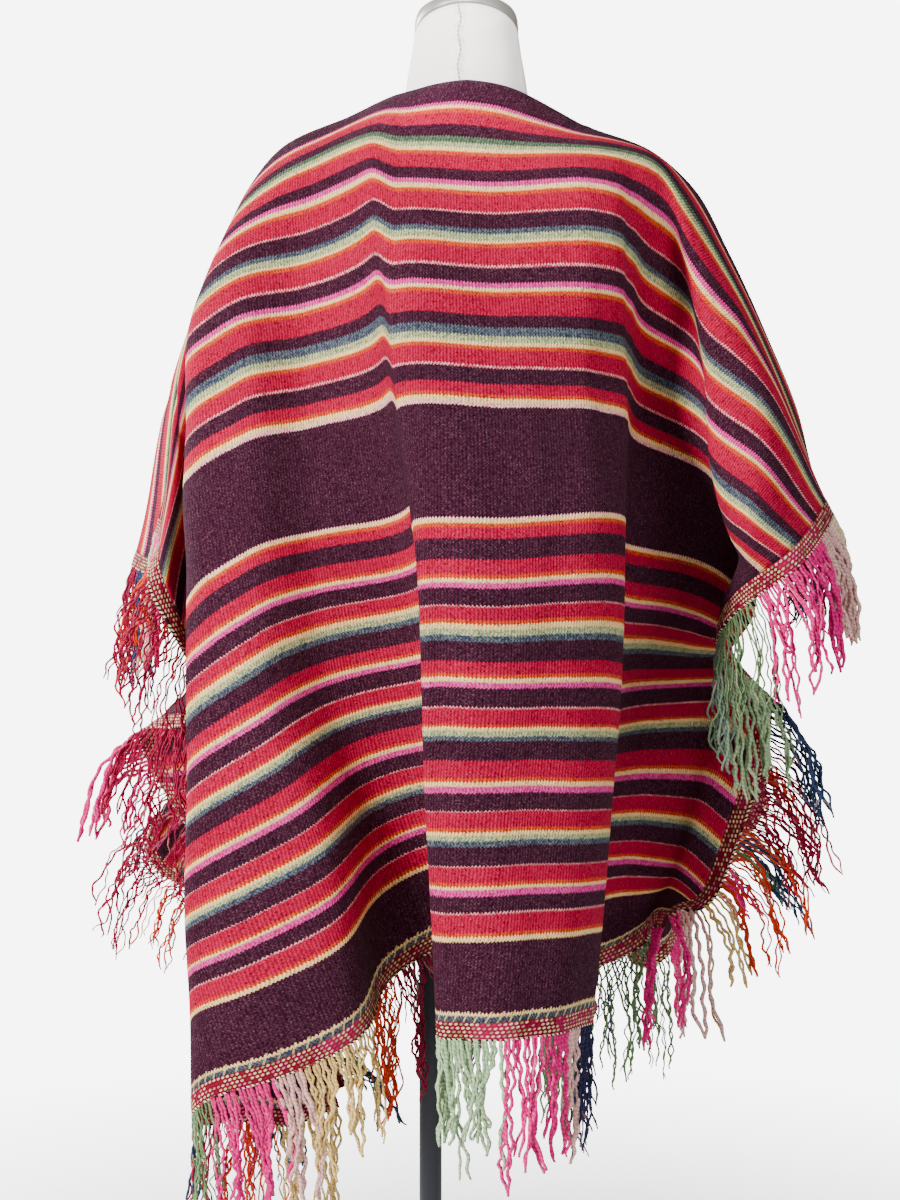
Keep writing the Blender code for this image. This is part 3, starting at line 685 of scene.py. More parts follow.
def clothMaterial():
    shade = Shade("stripedWool", {"Roughness": 0.95, "Sheen Weight": 0.015, "Specular IOR Level": 0.04})
    x, y = shade.measures("weave")
    down = shade.maths("ABSOLUTE", y - cloth["halfLength"])
    wander = shade.grain(x * 7, y * 3, 3.0) - 0.5
    ribs = x / weave["rib"] + wander * weave["ribWander"]
    ridge = shade.zigzag(ribs) * 2  # 0 in the groove, 1 on the rib
    column, row = shade.floor(ribs * 2), shade.floor(down / weave["dash"])
    scatter = shade.random(column, row)
    place = down + (ridge - 0.5) * weave["tooth"] + wander * (2 * weave["wander"])
    place = place + (scatter - 0.5) * weave["scatter"]
    main = stripeColour(shade, place, yarnColours)
    mixed = stripeColour(shade, place, dashColours)
    even = shade.zigzag((column + row) * 0.5) * 2  # 0 and 1 in turn, like a chequer
    least, more = weave["dashShare"]
    dashes = shade.maths("LESS_THAN", scatter, least + even * more) * 0.85
    colour = shade.blend(dashes, main, mixed)
    # short stitches over the blue edge stripe
    high, low = (cloth["halfLength"] - up for up in weave["stitchRows"])
    slant = shade.maths("FRACT", (x + down * weave["stitchSlant"]) / weave["stitchStep"])
    stitch = (down > high) * (down < low) * (slant < weave["stitchWide"] / weave["stitchStep"])
    colour = shade.blend(stitch * 0.85, colour, paint(weave["stitchYarn"]))
    # hairs, lint, painted shade in pinholes between threads and painted shade in the grooves between ribs
    hairs = shade.grain(x * 900, y * 420, 2.0, 0.7)
    wide, high = weave["lintSize"]
    lint = shade.random(shade.floor(x / wide), shade.floor(y / high))
    worn = shade.grain(x * 9, y * 13, 4.0, 0.6)
    linty = (lint > 1 - weave["lintShare"]) * (0.06 + 0.36 * worn) * hairs
    colour = shade.blend(linty, colour, paint(weave["lintYarn"]))
    pinholeShade = 1 - (shade.random(column + 17, row) > 1 - weave["pinholeShare"]) * 0.45
    # tone: painted shade, darker in the rib grooves and at the pinholes, with random tone from hairs and
    # wear
    tone = (0.60 + 0.46 * ridge) * (0.70 + 0.60 * hairs) * (0.82 + 0.38 * worn) * pinholeShade
    weft = shade.zigzag(down / weave["pick"] + ridge * 0.5)
    height = shade.maths("SQRT", ridge) * 0.8 + weft * 0.5 + hairs * 0.5
    return shade.finish({"Base Color": shade.shaded(colour, tone * 1.05),
                         "Normal": shade.bump(height, 0.6, 0.0010)})


# The woven tape round the cloth's edge, with a thin beaded cord along its outer side.
tape = {
    "width": 0.017,
    "thickness": 0.0028,
    "overlap": 0.0008,
    "easeRounds": 38,
    "turnSteps": 5,  # points round each long edge
    "belly": 1.12,  # how far the middle stands out
    "cordRadius": 0.0014,
    "cordSides": 6,
    "cordSink": 0.0004,
    "cordHeight": 1.35,  # its height for its width
    "cordSwell": 0.10,
    "cordSwellPitch": 0.019,
    "beadPitch": 0.0050,
    "stitchPitch": 0.0052,
    "rowPitch": 0.0036,
    "slant": 0.25,
    "strips": 9,  # pieces of the run, laid under each other for baking
}


def edgeOf(edge):  # points, directions and running length along one edge of the cloth
    if edge in halves:
        half = halves[edge]
        points, inside, normals = half["grid"][:, -1], half["grid"][:, -2], half["normals"][:, -1]
        stand = acrossPlaces
    else:
        column, inner = (0, 1) if edge == "left" else (-1, -2)
        points, inside, normals = (
            np.concatenate([halves["back"][key][k, ::-1], halves["front"][key][k, 1:]])
            for key, k in (("grid", column), ("grid", inner), ("normals", column)))
        stand = np.concatenate([downPlaces[::-1], -downPlaces[1:]])
    along = unit(np.gradient(points, axis=0))
    straight = unit(squareTo(along, points - inside))
    normals = unit(squareTo(straight, squareTo(along, normals)))
    outward = straight
    for _ in range(tape["easeRounds"]):  # the tape is stiffer than the cloth and evens its ripples
        before = np.concatenate([outward[:1], outward[:-1]])
        after = np.concatenate([outward[1:], outward[-1:]])
        outward = unit(before + 2 * outward + after)
    run = np.concatenate([[0], np.cumsum(np.linalg.norm(np.diff(points, axis=0), axis=1))])
    return {"near": points - straight * tape["overlap"], "along": along, "outward": outward,
            "normals": normals, "stand": stand, "run": run}


edges = {edge: edgeOf(edge) for edge in ("back", "front", "left", "right")}


def faceCorners(u, v):  # the four corners' values of each face of a skin
    spots = np.stack(np.broadcast_arrays(u, v), -1)
    return np.stack([spots[:-1, :-1], spots[1:, :-1], spots[1:, 1:], spots[:-1, 1:]], 2)


def skin(rings, first):  # faces of a tube through rings of points
    count, sides = rings.shape[:2]
    ids = first + np.arange(count * sides).reshape(count, sides)
    return gridFaces(np.concatenate([ids, ids[:, :1]], axis=1), False)


def stripCorners(count, shares, low, high):
    perStrip = math.ceil((count - 1) / tape["strips"])
    step = np.arange(count - 1)
    strip = step // perStrip
    start = (step - strip * perStrip) / perStrip
    x = np.stack([start, start + 1 / perStrip], -1) * 0.98 + 0.01
    y = low + (high - low) * shares
    y = (strip[:, None, None] + np.stack([y[:-1], y[1:]], -1)[None]) / tape["strips"]
    corners = np.empty((count - 1, len(shares) - 1, 4, 2))
    for k, (side, end) in enumerate(((0, 0), (1, 0), (1, 1), (0, 1))):
        corners[:, :, k, 0] = x[:, None, side]
        corners[:, :, k, 1] = y[:, :, end]
    return corners


def tubeCaps(first, count, sides):  # one face at each end of a skin
    last = first + (count - 1) * sides
    return [list(range(first, first + sides))[::-1], list(range(last, last + sides))]


def tapePiece(edge, materials):
    lay = edges[edge]
    wide, bend = tape["width"], 0.5 * tape["thickness"]
    turn = np.linspace(0, np.pi, tape["turnSteps"])
    outline = [(wide - bend + bend * math.sin(a), bend * math.cos(a)) for a in turn]
    outline += [(0.5 * wide, -tape["belly"] * bend)]
    outline += [(bend - bend * math.sin(a), -bend * math.cos(a)) for a in turn]
    outline += [(0.5 * wide, tape["belly"] * bend)]
    w, t = (np.array(values)[None, :, None] for values in zip(*outline))
    out, up = lay["outward"][:, None], lay["normals"][:, None]
    band = lay["near"][:, None] + out * w + up * t
    walk = np.cumsum([0.0] + [math.dist(a, b) for a, b in zip(outline, outline[1:] + outline[:1])])
    angles = np.linspace(0, 2 * np.pi, tape["cordSides"] + 1)
    centre = lay["near"] + lay["outward"] * (wide - tape["cordSink"])
    swell = 1 + tape["cordSwell"] * np.sin(lay["run"] * 2 * np.pi / tape["cordSwellPitch"])
    around = angles[:-1][None, :, None]
    ring = out * np.cos(around) + up * np.sin(around) * tape["cordHeight"]
    cord = centre[:, None] + ring * (tape["cordRadius"] * swell)[:, None, None]
    count, sides = band.shape[:2]
    bandFaces, cordFaces = skin(band, 0), skin(cord, count * sides)
    caps = tubeCaps(0, count, sides) + tubeCaps(count * sides, count, tape["cordSides"])
    faces = bandFaces.tolist() + cordFaces.tolist() + caps
    verts = np.concatenate([band.reshape(-1, 3), cord.reshape(-1, 3)])
    slots = [0] * len(bandFaces) + [1] * len(cordFaces) + [0, 0, 1, 1]
    piece = newObject("tape_" + edge, verts, faces, materials, slots)
    capCount = sum(len(cap) for cap in caps)
    braid = [faceCorners(lay["run"][:, None], places[None, :]) for places in (walk, angles)]
    bake = [stripCorners(count, walk / walk[-1], 0.04, 0.72),
            stripCorners(count, angles / angles[-1], 0.80, 0.94)]
    for name, parts in (("braid", braid), ("OFBake", bake)):
        corners = [part.reshape(-1, 2) for part in parts] + [np.full((capCount, 2), 0.5)]
        addMap(piece, name, np.concatenate(corners))
    return piece


# The tape's yarns. "stitches" says from where, between 0 and 1, each stitch takes its colour.
braidYarns = {
    "ground": ("8c0a2a", "b01c4c"),
    "stitches": ((0.0, "e9c99a"), (0.36, "8f9360"), (0.52, "d8708c"), (0.68, "ecd9b0"), (0.86, "3f1a2c")),
    "cord": ("2a1018", "f0dcae", "a01838"),
}


def braidMaterial():  # short pale stitches laid like bricks over a crimson and pink ground
    shade = Shade("braidedTape", {"Roughness": 0.9, "Sheen Weight": 0.03, "Specular IOR Level": 0.1})
    run, wide = shade.measures("braid")
    across = wide / tape["rowPitch"]
    row = shade.floor(across)
    along = run / tape["stitchPitch"] + row * 0.5 + across * tape["slant"]
    cell = shade.random(shade.floor(along), row)
    hump = shade.zigzag(along) * shade.zigzag(across) * 4  # 0 to 1
    stitch = (hump > 0.30) * (cell < 0.86)
    patches = shade.grain(run * 9, 0.3)
    ground = shade.blend(patches > 0.52, *map(paint, braidYarns["ground"]))
    tint = shade.stripe(cell, [(at, paint(code)) for at, code in braidYarns["stitches"]])
    colour = shade.blend(stitch * 0.9, ground, tint)
    hairs = shade.grain(run * 1500, wide * 1500)
    # painted shade: the tape is darker between the stitches' humps
    tone = (0.50 + 0.62 * hump) * (0.74 + 0.52 * hairs)
    return shade.finish({"Base Color": shade.shaded(colour, tone),
                         "Normal": shade.bump(hump + hairs * 0.3, 0.8, 0.0010)})


def cordMaterial():
    shade = Shade("beadedCord", {"Roughness": 0.85, "Specular IOR Level": 0.15})
    run, around = shade.measures("braid")
    twist = run / tape["beadPitch"] + around * 0.16
    bead = shade.zigzag(twist) * 2
    odd = shade.random(shade.floor(twist), 3.0)
    dark, pale, red = map(paint, braidYarns["cord"])
    colour = shade.blend((bead > 0.50) * (odd < 0.80), dark, pale)
    colour = shade.blend((odd > 0.90) * 0.9, colour, red)
    return shade.finish({"Base Color": colour, "Normal": shade.bump(bead, 0.8, 0.0008)})


# Knotted yarn fringe under the tape. Its yarns hang together in bunches, and many end in a loop.
fringe = {
    "step": 0.0083,  # from one knot to the next
    "perKnot": 2,
    "length": 0.120,
    "splay": 0.50,
    "segments": 34,
    "sides": 4,
    "radius": 0.00125,
    "clear": 0.0034,  # from the middle of a yarn to the cloth under it
    "lookAhead": 0.001,
    "slide": 0.5,  # how much of a step that meets the cloth goes on along it
    "carry": 0.92,  # how much of a push off the cloth the next point keeps
    "knotSpread": 0.0017,  # from a knot's middle to each of its yarns
    "knotScatter": 0.0006,
    "endMargin": 0.0005,  # from the edge's ends to the nearest yarn
    "rootDepth": 0.0015,  # how deep a yarn starts in the tape
    "rootScatter": 0.0007,
    "bunchKnots": (2, 6),
    "bunchScatter": 0.003,
    "lengths": (0.74, 1.10),  # shares of the full length
    "longWave": (0.12, 77),  # the ends' own rise and fall along the edge, and its radians in a metre
    "shortWave": (0.06, 229),
    "turnRate": 1.6,  # how soon a yarn turns down from the tape
    "sway": (0.05, 0.08),
    "slim": 0.85,  # how thick most yarns are, for the radius
    "radii": (0.8, 1.2),
    "shortShare": 0.04,
    "shortLength": 0.6,
    "gather": (0.35, 0.95),  # how far yarns go to the middle of their bunch
    "crimpPitch": (0.013, 0.024),
    "crimpSide": (0.0006, 0.0017),
    "crimpUp": (0.0006, 0.0015),
    "driftPitch": (0.05, 0.10),
    "driftSide": 0.0026,
    "driftUp": 0.0022,
    "looped": 0.62,  # share of the knots whose two yarns meet at the end
    "plyPitch": 0.0042,
    "tintWander": 0.012,  # how far a yarn may take its colour from beside it
    "faded": "f0c4b4",
    "bakeRows": 4,
    "seed": 11,
}

# How much thicker, and how much more tangled, some colours are than the rest.
stoutYarns = {
    "hotPink": 1.45, "palePink": 1.6, "yellow": 1.3, "lightGreen": 1.5, "cream": 1.3, "blue": 1.1,
}
tangledYarns = {"crimson": 2.4, "orange": 1.7, "navy": 1.8, "greyGreen": 2.2, "blue": 1.6}

yarnTints = {
    "yellow": "ecc87c",
    "orange": "e73f1d",
    "crimson": "9e0a3a",
    "blue": "304265",
    "navy": "29294d",
    "green": "739061",
    "greyGreen": "7c907c",
    "lightGreen": "adcb9b",
    "hotPink": "ef2286",
    "palePink": "e7b5ad",
    "cream": "edd4ad",
}

# The colours' turns along each edge: the name and where it ends. The hems are measured across, and
# the sides from the front corner, minus, over the shoulder line to the back corner.
yarnTurns = {
    "back": "yellow -.56, orange -.50, crimson -.44, blue -.43, green -.40, hotPink -.345, palePink -.325,"
            "yellow -.26, orange -.20, crimson -.13, greyGreen -.08, lightGreen .07, hotPink .15,"
            "palePink .17, navy .26, green .58, hotPink .62",
    "front": "crimson -.55, blue -.49, green -.41, hotPink -.34, palePink -.31, yellow -.24, orange -.17,"
             "crimson -.09, greyGreen -.04, lightGreen .04, hotPink .12, palePink .15, yellow .22,"
             "orange .29, crimson .37, navy .43, green .52, hotPink .58, palePink .62",
    "left": "hotPink -.86, palePink -.83, yellow -.76, orange -.68, crimson -.60, blue -.54, green -.46,"
            "hotPink -.38, palePink -.35, yellow -.28, orange -.20, crimson -.12, blue -.06,"
            "lightGreen .02, hotPink .08, palePink .10, orange .15, crimson .44,"
            "hotPink .52, crimson .67, yellow .74, palePink .77, hotPink .84, green .90, blue .935",
    "right": "hotPink -.87, green -.79, blue -.72, crimson -.62, orange -.55, yellow -.49, palePink -.46,"
             "hotPink -.38, green -.30, navy -.22, blue -.12, crimson .05, orange .13, cream .17,"
             "palePink .22, hotPink .37, green .44, greyGreen .50, lightGreen .58, blue .66, crimson .74,"
             "orange .80, yellow .86, palePink .90, hotPink .935",
}


def surfaceTree():  # the cloth, to keep yarns off
    points = np.concatenate([half["grid"].reshape(-1, 3) for half in halves.values()])
    ids = np.arange(len(points) // 2).reshape(halves["back"]["grid"].shape[:2])
    faces = np.concatenate([gridFaces(ids, True), gridFaces(ids + ids.size, False)])
    return BVHTree.FromPolygons(points.tolist(), faces.tolist())


def keepOff(points, tree):  # yarns lie on the cloth, never through it
    clear = fringe["clear"]
    for yarn in points:
        shift = Vector((0, 0, 0))
        before = Vector(yarn[0])
        for k in range(1, len(yarn)):
            spot = Vector(yarn[k]) + shift
            way = spot - before
            hit, normal, _, _ = tree.ray_cast(before, way.normalized(), way.length + fringe["lookAhead"])
            if hit is not None:
                side = normal if normal.dot(way) < 0 else -normal
                spot = hit + side * clear + (way - way.project(side)) * fringe["slide"]
            near, normal, _, apart = tree.find_nearest(spot, clear)
            if near is not None and apart > 1e-6:
                spot = near + (spot - near).normalized() * clear
            shift = (spot - Vector(yarn[k])) * fringe["carry"]
            yarn[k] = spot
            before = spot
    return points


def turnsOf(edge):
    turns = [turn.split() for turn in yarnTurns[edge].split(",")]
    return [name for name, _ in turns], [float(end) for _, end in turns]


def spread(draw, ends, count):  # one number for each yarn, ready to spread over its length
    return draw.uniform(*ends, count)[:, None]


def bunchPlaces(spots, draw):  # where the middle of each knot's bunch is
    middles = np.empty(len(spots))
    first = 0
    while first < len(spots):
        last = min(len(spots), first + int(draw.integers(*fringe["bunchKnots"])))
        middles[first:last] = spots[first:last].mean() + draw.normal(0, fringe["bunchScatter"])
        first = last
    return middles


def yarnPaths(edge, draw):
    lay = edges[edge]
    each, segments = fringe["perKnot"], fringe["segments"]
    knots = int(lay["run"][-1] / fringe["step"])
    knotSpots = (np.arange(knots) + 0.5) * fringe["step"]
    bunch = np.repeat(bunchPlaces(knotSpots, draw), each)
    count = knots * each
    apart = np.tile([-fringe["knotSpread"], fringe["knotSpread"]], knots)
    spot = np.repeat(knotSpots, each) + apart + draw.normal(0, fringe["knotScatter"], count)
    spot = np.clip(spot, fringe["endMargin"], lay["run"][-1] - fringe["endMargin"])
    near, along, outward, normals = (
        np.stack([np.interp(spot, lay["run"], lay[key][:, k]) for k in range(3)], -1)
        for key in ("near", "along", "outward", "normals"))
    along, outward, normals = unit(along), unit(outward), unit(normals)
    stand = np.interp(spot, lay["run"], lay["stand"])
    names, ends = turnsOf(edge)
    names = [names[min(k, len(names) - 1)] for k in np.searchsorted(ends, stand)]
    stout = np.array([stoutYarns.get(name, fringe["slim"]) for name in names])[:, None]
    tangle = np.array([tangledYarns.get(name, 1.0) for name in names])[:, None]
    down = np.array([0, 0, -1.0])
    fall = unit(down + outward * fringe["splay"] * np.maximum(0, 1 + outward[:, 2:]))
    share = np.arange(1, segments + 1) / segments
    turn = np.minimum(1, fringe["turnRate"] * share)[None, :, None]
    (high, turns), (low, quick) = fringe["longWave"], fringe["shortWave"]
    wave = high * np.sin(spot * turns) + low * np.sin(spot * quick + 1)
    length = fringe["length"] * (1 + wave) * np.repeat(draw.uniform(*fringe["lengths"], knots), each)
    length[draw.random(count) < fringe["shortShare"]] *= fringe["shortLength"]
    heading = outward[:, None] * (1 - turn) + fall[:, None] * turn
    aside, out = (draw.normal(0, most, (count, 1)) for most in fringe["sway"])
    sway = along * aside + normals * out
    heading = unit(heading + sway[:, None] * share[:, None])
    root = near + outward * (tape["width"] - fringe["rootDepth"])
    root = root + normals * draw.uniform(-fringe["rootScatter"], fringe["rootScatter"], (count, 1))
    steps = heading * (length[:, None] / segments)[..., None]
    path = np.concatenate([root[:, None], root[:, None] + np.cumsum(steps, axis=1)], axis=1)
    heading = unit(np.gradient(path, axis=1))
    wide = unit(squareTo(heading, along[:, None]))
    thick = np.cross(heading, wide)
    share = np.arange(segments + 1) / segments
    reach = length[:, None] * share[None]
    # towards the middle of the bunch, and a little apart again at the end
    gather = easeStep(0.12, 0.62, share) * (1 - 0.45 * easeStep(0.70, 1, share))
    sideways = (bunch - spot)[:, None] * gather
    sideways = sideways * np.repeat(spread(draw, fringe["gather"], knots), each, axis=0)
    grow = easeStep(0, 0.16, share)[None]
    crimp = reach / spread(draw, fringe["crimpPitch"], count) + spread(draw, (0, 1), count)
    crimp = 2 * np.pi * crimp
    sideways = sideways + np.sin(crimp) * spread(draw, fringe["crimpSide"], count) * grow
    upward = np.cos(crimp * 0.83 + 1) * spread(draw, fringe["crimpUp"], count) * grow
    drift = reach / spread(draw, fringe["driftPitch"], count) + spread(draw, (0, 1), count)
    drift = 2 * np.pi * drift
    loose = tangle * share
    sideways += (np.sin(drift) - np.sin(drift[:, :1])) * fringe["driftSide"] * loose
    upward += (np.cos(drift * 1.3) - np.cos(drift[:, :1] * 1.3)) * fringe["driftUp"] * loose
    path = path + wide * sideways[..., None] + thick * upward[..., None]
    # the two yarns of a looped knot meet at the end
    pairs = path.reshape(knots, each, segments + 1, 3)
    middle = pairs.mean(axis=1, keepdims=True)
    looped = draw.random(knots) < fringe["looped"]
    meet = easeStep(0.80, 1.0, share) ** 1.5 * looped[:, None]
    pairs = pairs + (middle - pairs) * meet[:, None, :, None]
    path = pairs.reshape(count, segments + 1, 3)
    radius = fringe["radius"] * stout * spread(draw, fringe["radii"], count)
    radius = radius * (1 + 0.14 * np.sin(crimp * 1.7 + 2)) * (1 - 0.30 * easeStep(0.9, 1, share)[None])
    return path, wide, radius, stand, reach


def fringePiece(edge, tree, material):
    draw = np.random.default_rng(fringe["seed"] + sum(map(ord, edge)))
    path, wide, radius, stand, reach = yarnPaths(edge, draw)
    path = keepOff(path, tree)
    count, segments, sides = len(path), fringe["segments"], fringe["sides"]
    share = np.arange(segments + 1) / segments
    heading = unit(np.gradient(path, axis=1))
    wide = unit(squareTo(heading, wide))
    thick = np.cross(heading, wide)
    angles = np.arange(sides) * 2 * np.pi / sides
    rings = (path[:, :, None] + radius[..., None, None]
             * (wide[:, :, None] * np.cos(angles)[:, None] + thick[:, :, None] * np.sin(angles)[:, None]))
    ids = np.arange(count * (segments + 1) * sides).reshape(count, segments + 1, sides)
    closed = np.concatenate([ids, ids[:, :, :1]], axis=2)
    walls = np.stack([closed[:, :-1, :-1], closed[:, :-1, 1:], closed[:, 1:, 1:], closed[:, 1:, :-1]], -1)
    faces = walls.reshape(-1, 4).tolist() + ids[:, 0, ::-1].tolist() + ids[:, -1].tolist()
    piece = newObject("yarns_" + edge, rings.reshape(-1, 3), faces, [material])
    # maps: which yarn, and place on the yarn
    yarn = np.stack([stand, draw.random(count)], -1)
    onWalls = np.repeat(yarn, segments * sides * 4, axis=0)
    onEnds = np.repeat(yarn, sides, axis=0)
    addMap(piece, "yarn", np.concatenate([onWalls, onEnds, onEnds]))
    around = (np.array([[0, 1, 1, 0]]) + np.arange(sides)[:, None])[None, None] / sides
    low, high = reach[:, :-1, None, None], reach[:, 1:, None, None]
    lengthwise = np.concatenate([low, low, high, high], axis=3)
    ply = np.stack(np.broadcast_arrays(around, lengthwise), -1)
    ends = [np.stack([np.tile(np.arange(sides) / sides, count), np.repeat(reach[:, k], sides)], -1)
            for k in (0, -1)]
    addMap(piece, "ply", np.concatenate([ply.reshape(-1, 2), *ends]))
    columns = math.ceil(count / fringe["bakeRows"])
    column, row = np.arange(count) % columns, np.arange(count) // columns
    x = (column[:, None, None, None] + 0.12 + 0.76 * around) / columns
    at = np.stack([share[:-1], share[:-1], share[1:], share[1:]], -1)[None, :, None]
    y = (row[:, None, None, None] + 0.02 + 0.96 * at) / fringe["bakeRows"]
    bake = np.stack(np.broadcast_arrays(x, y), -1).reshape(-1, 2)
    ends = [np.stack([(np.repeat(column, sides) + 0.5) / columns,
                      (np.repeat(row, sides) + end) / fringe["bakeRows"]], -1) for end in (0.02, 0.98)]
    addMap(piece, "OFBake", np.concatenate([bake, *ends]))
    return piece


def yarnMaterial(edge):
    surface = {"Roughness": 0.82, "Sheen Weight": 0.05, "Specular IOR Level": 0.1}
    shade = Shade("fringeYarn" + edge.capitalize(), surface)
    stand, own = shade.measures("yarn")
    around, reach = shade.measures("ply")
    names, ends = turnsOf(edge)
    high = ends[-1]
    low = -high
    starts = [low] + ends[:-1]
    stops = [((at - low) / (high - low), paint(yarnTints[name])) for at, name in zip(starts, names)]
    colour = shade.stripe((stand + (own - 0.5) * fringe["tintWander"] - low) / (high - low), stops)
    twist = shade.zigzag(around + reach / fringe["plyPitch"]) * 2
    dye = shade.grain(own * 90, reach * 26)
    hairs = shade.grain(around * 5 + own * 70, reach * 900)
    # painted shade: darker in the grooves between the plies' twists
    tone = (0.60 + 0.42 * twist) * (0.74 + 0.52 * dye) * (0.82 + 0.36 * hairs)
    tone = tone * (0.86 + 0.30 * shade.random(own * 997, 1.0))
    faded = shade.blend((dye > 0.62) * 0.22, colour, paint(fringe["faded"]))
    return shade.finish({"Base Color": shade.shaded(faded, tone),
                         "Normal": shade.bump(twist + hairs * 0.4, 0.8, 0.0006)})


# The dress form and its stand, all turned shapes: rings of height, half width, half depth, middle.
form = {
    "rings": (
        (0.700, 0.132, 0.094, 0.006, 0.000), (0.740, 0.146, 0.102, 0.008, 0.000),
        (0.820, 0.150, 0.102, 0.011, 0.000), (0.900, 0.140, 0.094, 0.014, 0.000),
        (0.970, 0.130, 0.085, 0.017, 0.000), (1.050, 0.144, 0.095, 0.021, 0.004),
        (1.130, 0.160, 0.108, 0.025, 0.008), (1.200, 0.174, 0.104, 0.028, 0.002),
        (1.260, 0.186, 0.088, 0.031, -0.008), (1.300, 0.186, 0.070, 0.033, -0.012),
        (1.3292, 0.174, 0.056, 0.035, -0.014), (1.3506, 0.146, 0.050, 0.036, -0.014),
        (1.3586, 0.108, 0.036, 0.037, -0.014), (1.3666, 0.082, 0.038, 0.037, -0.012),
        (1.3792, 0.0680, 0.047, 0.037, -0.006), (1.400, 0.0635, 0.0545, 0.037, 0.001),
        (1.420, 0.0605, 0.0548, 0.037, 0.002), (1.441, 0.0565, 0.0538, 0.037, 0.004),
        (1.462, 0.0535, 0.0535, 0.037, 0.005),
    ),
    "sides": 160,
    "foot": 0.700,
    "ringStep": 0.0045,
    "neckTop": 1.4605,
    "neckTilt": 0.027,  # the neck is cut on a slant, higher at the back
    "capTilt": 0.010,
    "capTop": 1.488,
    "footRound": 0.012,
    "footRise": 0.022,
    "underCloth": 0.0030,  # how much slimmer the form is where the cloth lies on it
    "seamAngle": math.radians(-97.5),
    "seamHeight": 0.0017,
    "seamWidth": 0.0024,
    "pucker": 0.0006,
    "puckerPlace": 0.006,
    "puckerWidth": 0.005,
    "puckerPitch": 0.0090,
    "wobble": 0.0012,
    "wobbleTurns": 300,  # radians of the seam's wobble in a metre
    "thread": 0.0007,
    "cotton": ("fcfaf6", "f2ece4"),
    "seamShadowWidth": 0.0009,  # the painted shadow line along the seam
    "seamShadowTurns": 2100,
    "seamShadowColour": "857a6e",
    "tuckPitch": 0.0045,
    "tuckWidth": 0.0055,
    "tuckShadeColour": "b3aa9f",
    "cap": ("9d9892", "746f6a"),
}

stand = {
    "baseRadius": 0.170,
    "baseHeight": 0.018,
    "baseRound": 0.005,
    "poleRadius": 0.0115,
    "poleTop": 0.692,
    "flangeRadius": 0.045,
    "flangeTop": 0.700,
    "poleRings": 12,
    "weld": ((0.0, 0.006), (0.0015, 0.0015), (0.004, 0.0004)),  # out from the pole, down from the flange
    "chamfer": 0.0015,
    "sides": 96,
    "paint": ("0c0f18", "171c29", "2a3040"),  # the last one on scuffed places
}


def turned(name, rings, material, mapName, closeBottom=True, closeTop=True):
    # rings: an array of rings by sides by 3, from the foot up
    count, sides = rings.shape[:2]
    faces = skin(rings, 0).tolist()
    verts = rings.reshape(-1, 3)
    ends = []
    for close, row, order in ((closeBottom, 0, -1), (closeTop, count - 1, 1)):
        if close:  # a fan to the middle
            verts = np.concatenate([verts, rings[row].mean(axis=0, keepdims=True)])
            for k in range(sides):
                pair = [row * sides + k, row * sides + (k + 1) % sides][::order]
                ends.append([*pair, len(verts) - 1])
    piece = newObject(name, verts, faces + ends, [material])
    share = np.arange(sides + 1) / sides
    girth = np.linalg.norm(rings - np.roll(rings, 1, axis=1), axis=-1).sum(axis=1)
    rise = np.concatenate([[0], np.cumsum(np.linalg.norm(np.diff(rings[:, 0], axis=0), axis=-1))])
    metres = faceCorners(share[None, :] * girth.mean(), rise[:, None]).reshape(-1, 2)
    high = 0.02 + 0.80 * rise[:, None] / rise[-1]
    bake = faceCorners(share[None, :] * 0.98 + 0.01, high).reshape(-1, 2)
    corners = np.array([[verts[i][0], verts[i][1]] for end in ends for i in end]).reshape(-1, 2)
    if len(corners):
        middle, extent = corners.mean(axis=0), np.ptp(corners, axis=0).max()
        top = len(ends) // 2 * 3 if closeBottom and closeTop else len(corners)
        away = np.zeros((len(corners), 1))
        away[top:] = 1
        flat = (corners - middle) / extent * 0.15 + (0.1, 0.91) + away * (0.3, 0)
        metres = np.concatenate([metres, corners])
        bake = np.concatenate([bake, flat])
    addMap(piece, mapName, metres)
    addMap(piece, "OFBake", bake)
    return piece


def ringPoints(radiusX, radiusY, middleX, middleY, height, angles):
    return np.stack([middleX + radiusX * np.cos(angles), middleY + radiusY * np.sin(angles),
                     np.broadcast_to(height, angles.shape)], -1)


def roundRings(profile, angles):  # rings round the upright axis from radius and height pairs
    return np.array([ringPoints(radius, radius, 0, 0, height, angles) for radius, height in profile])


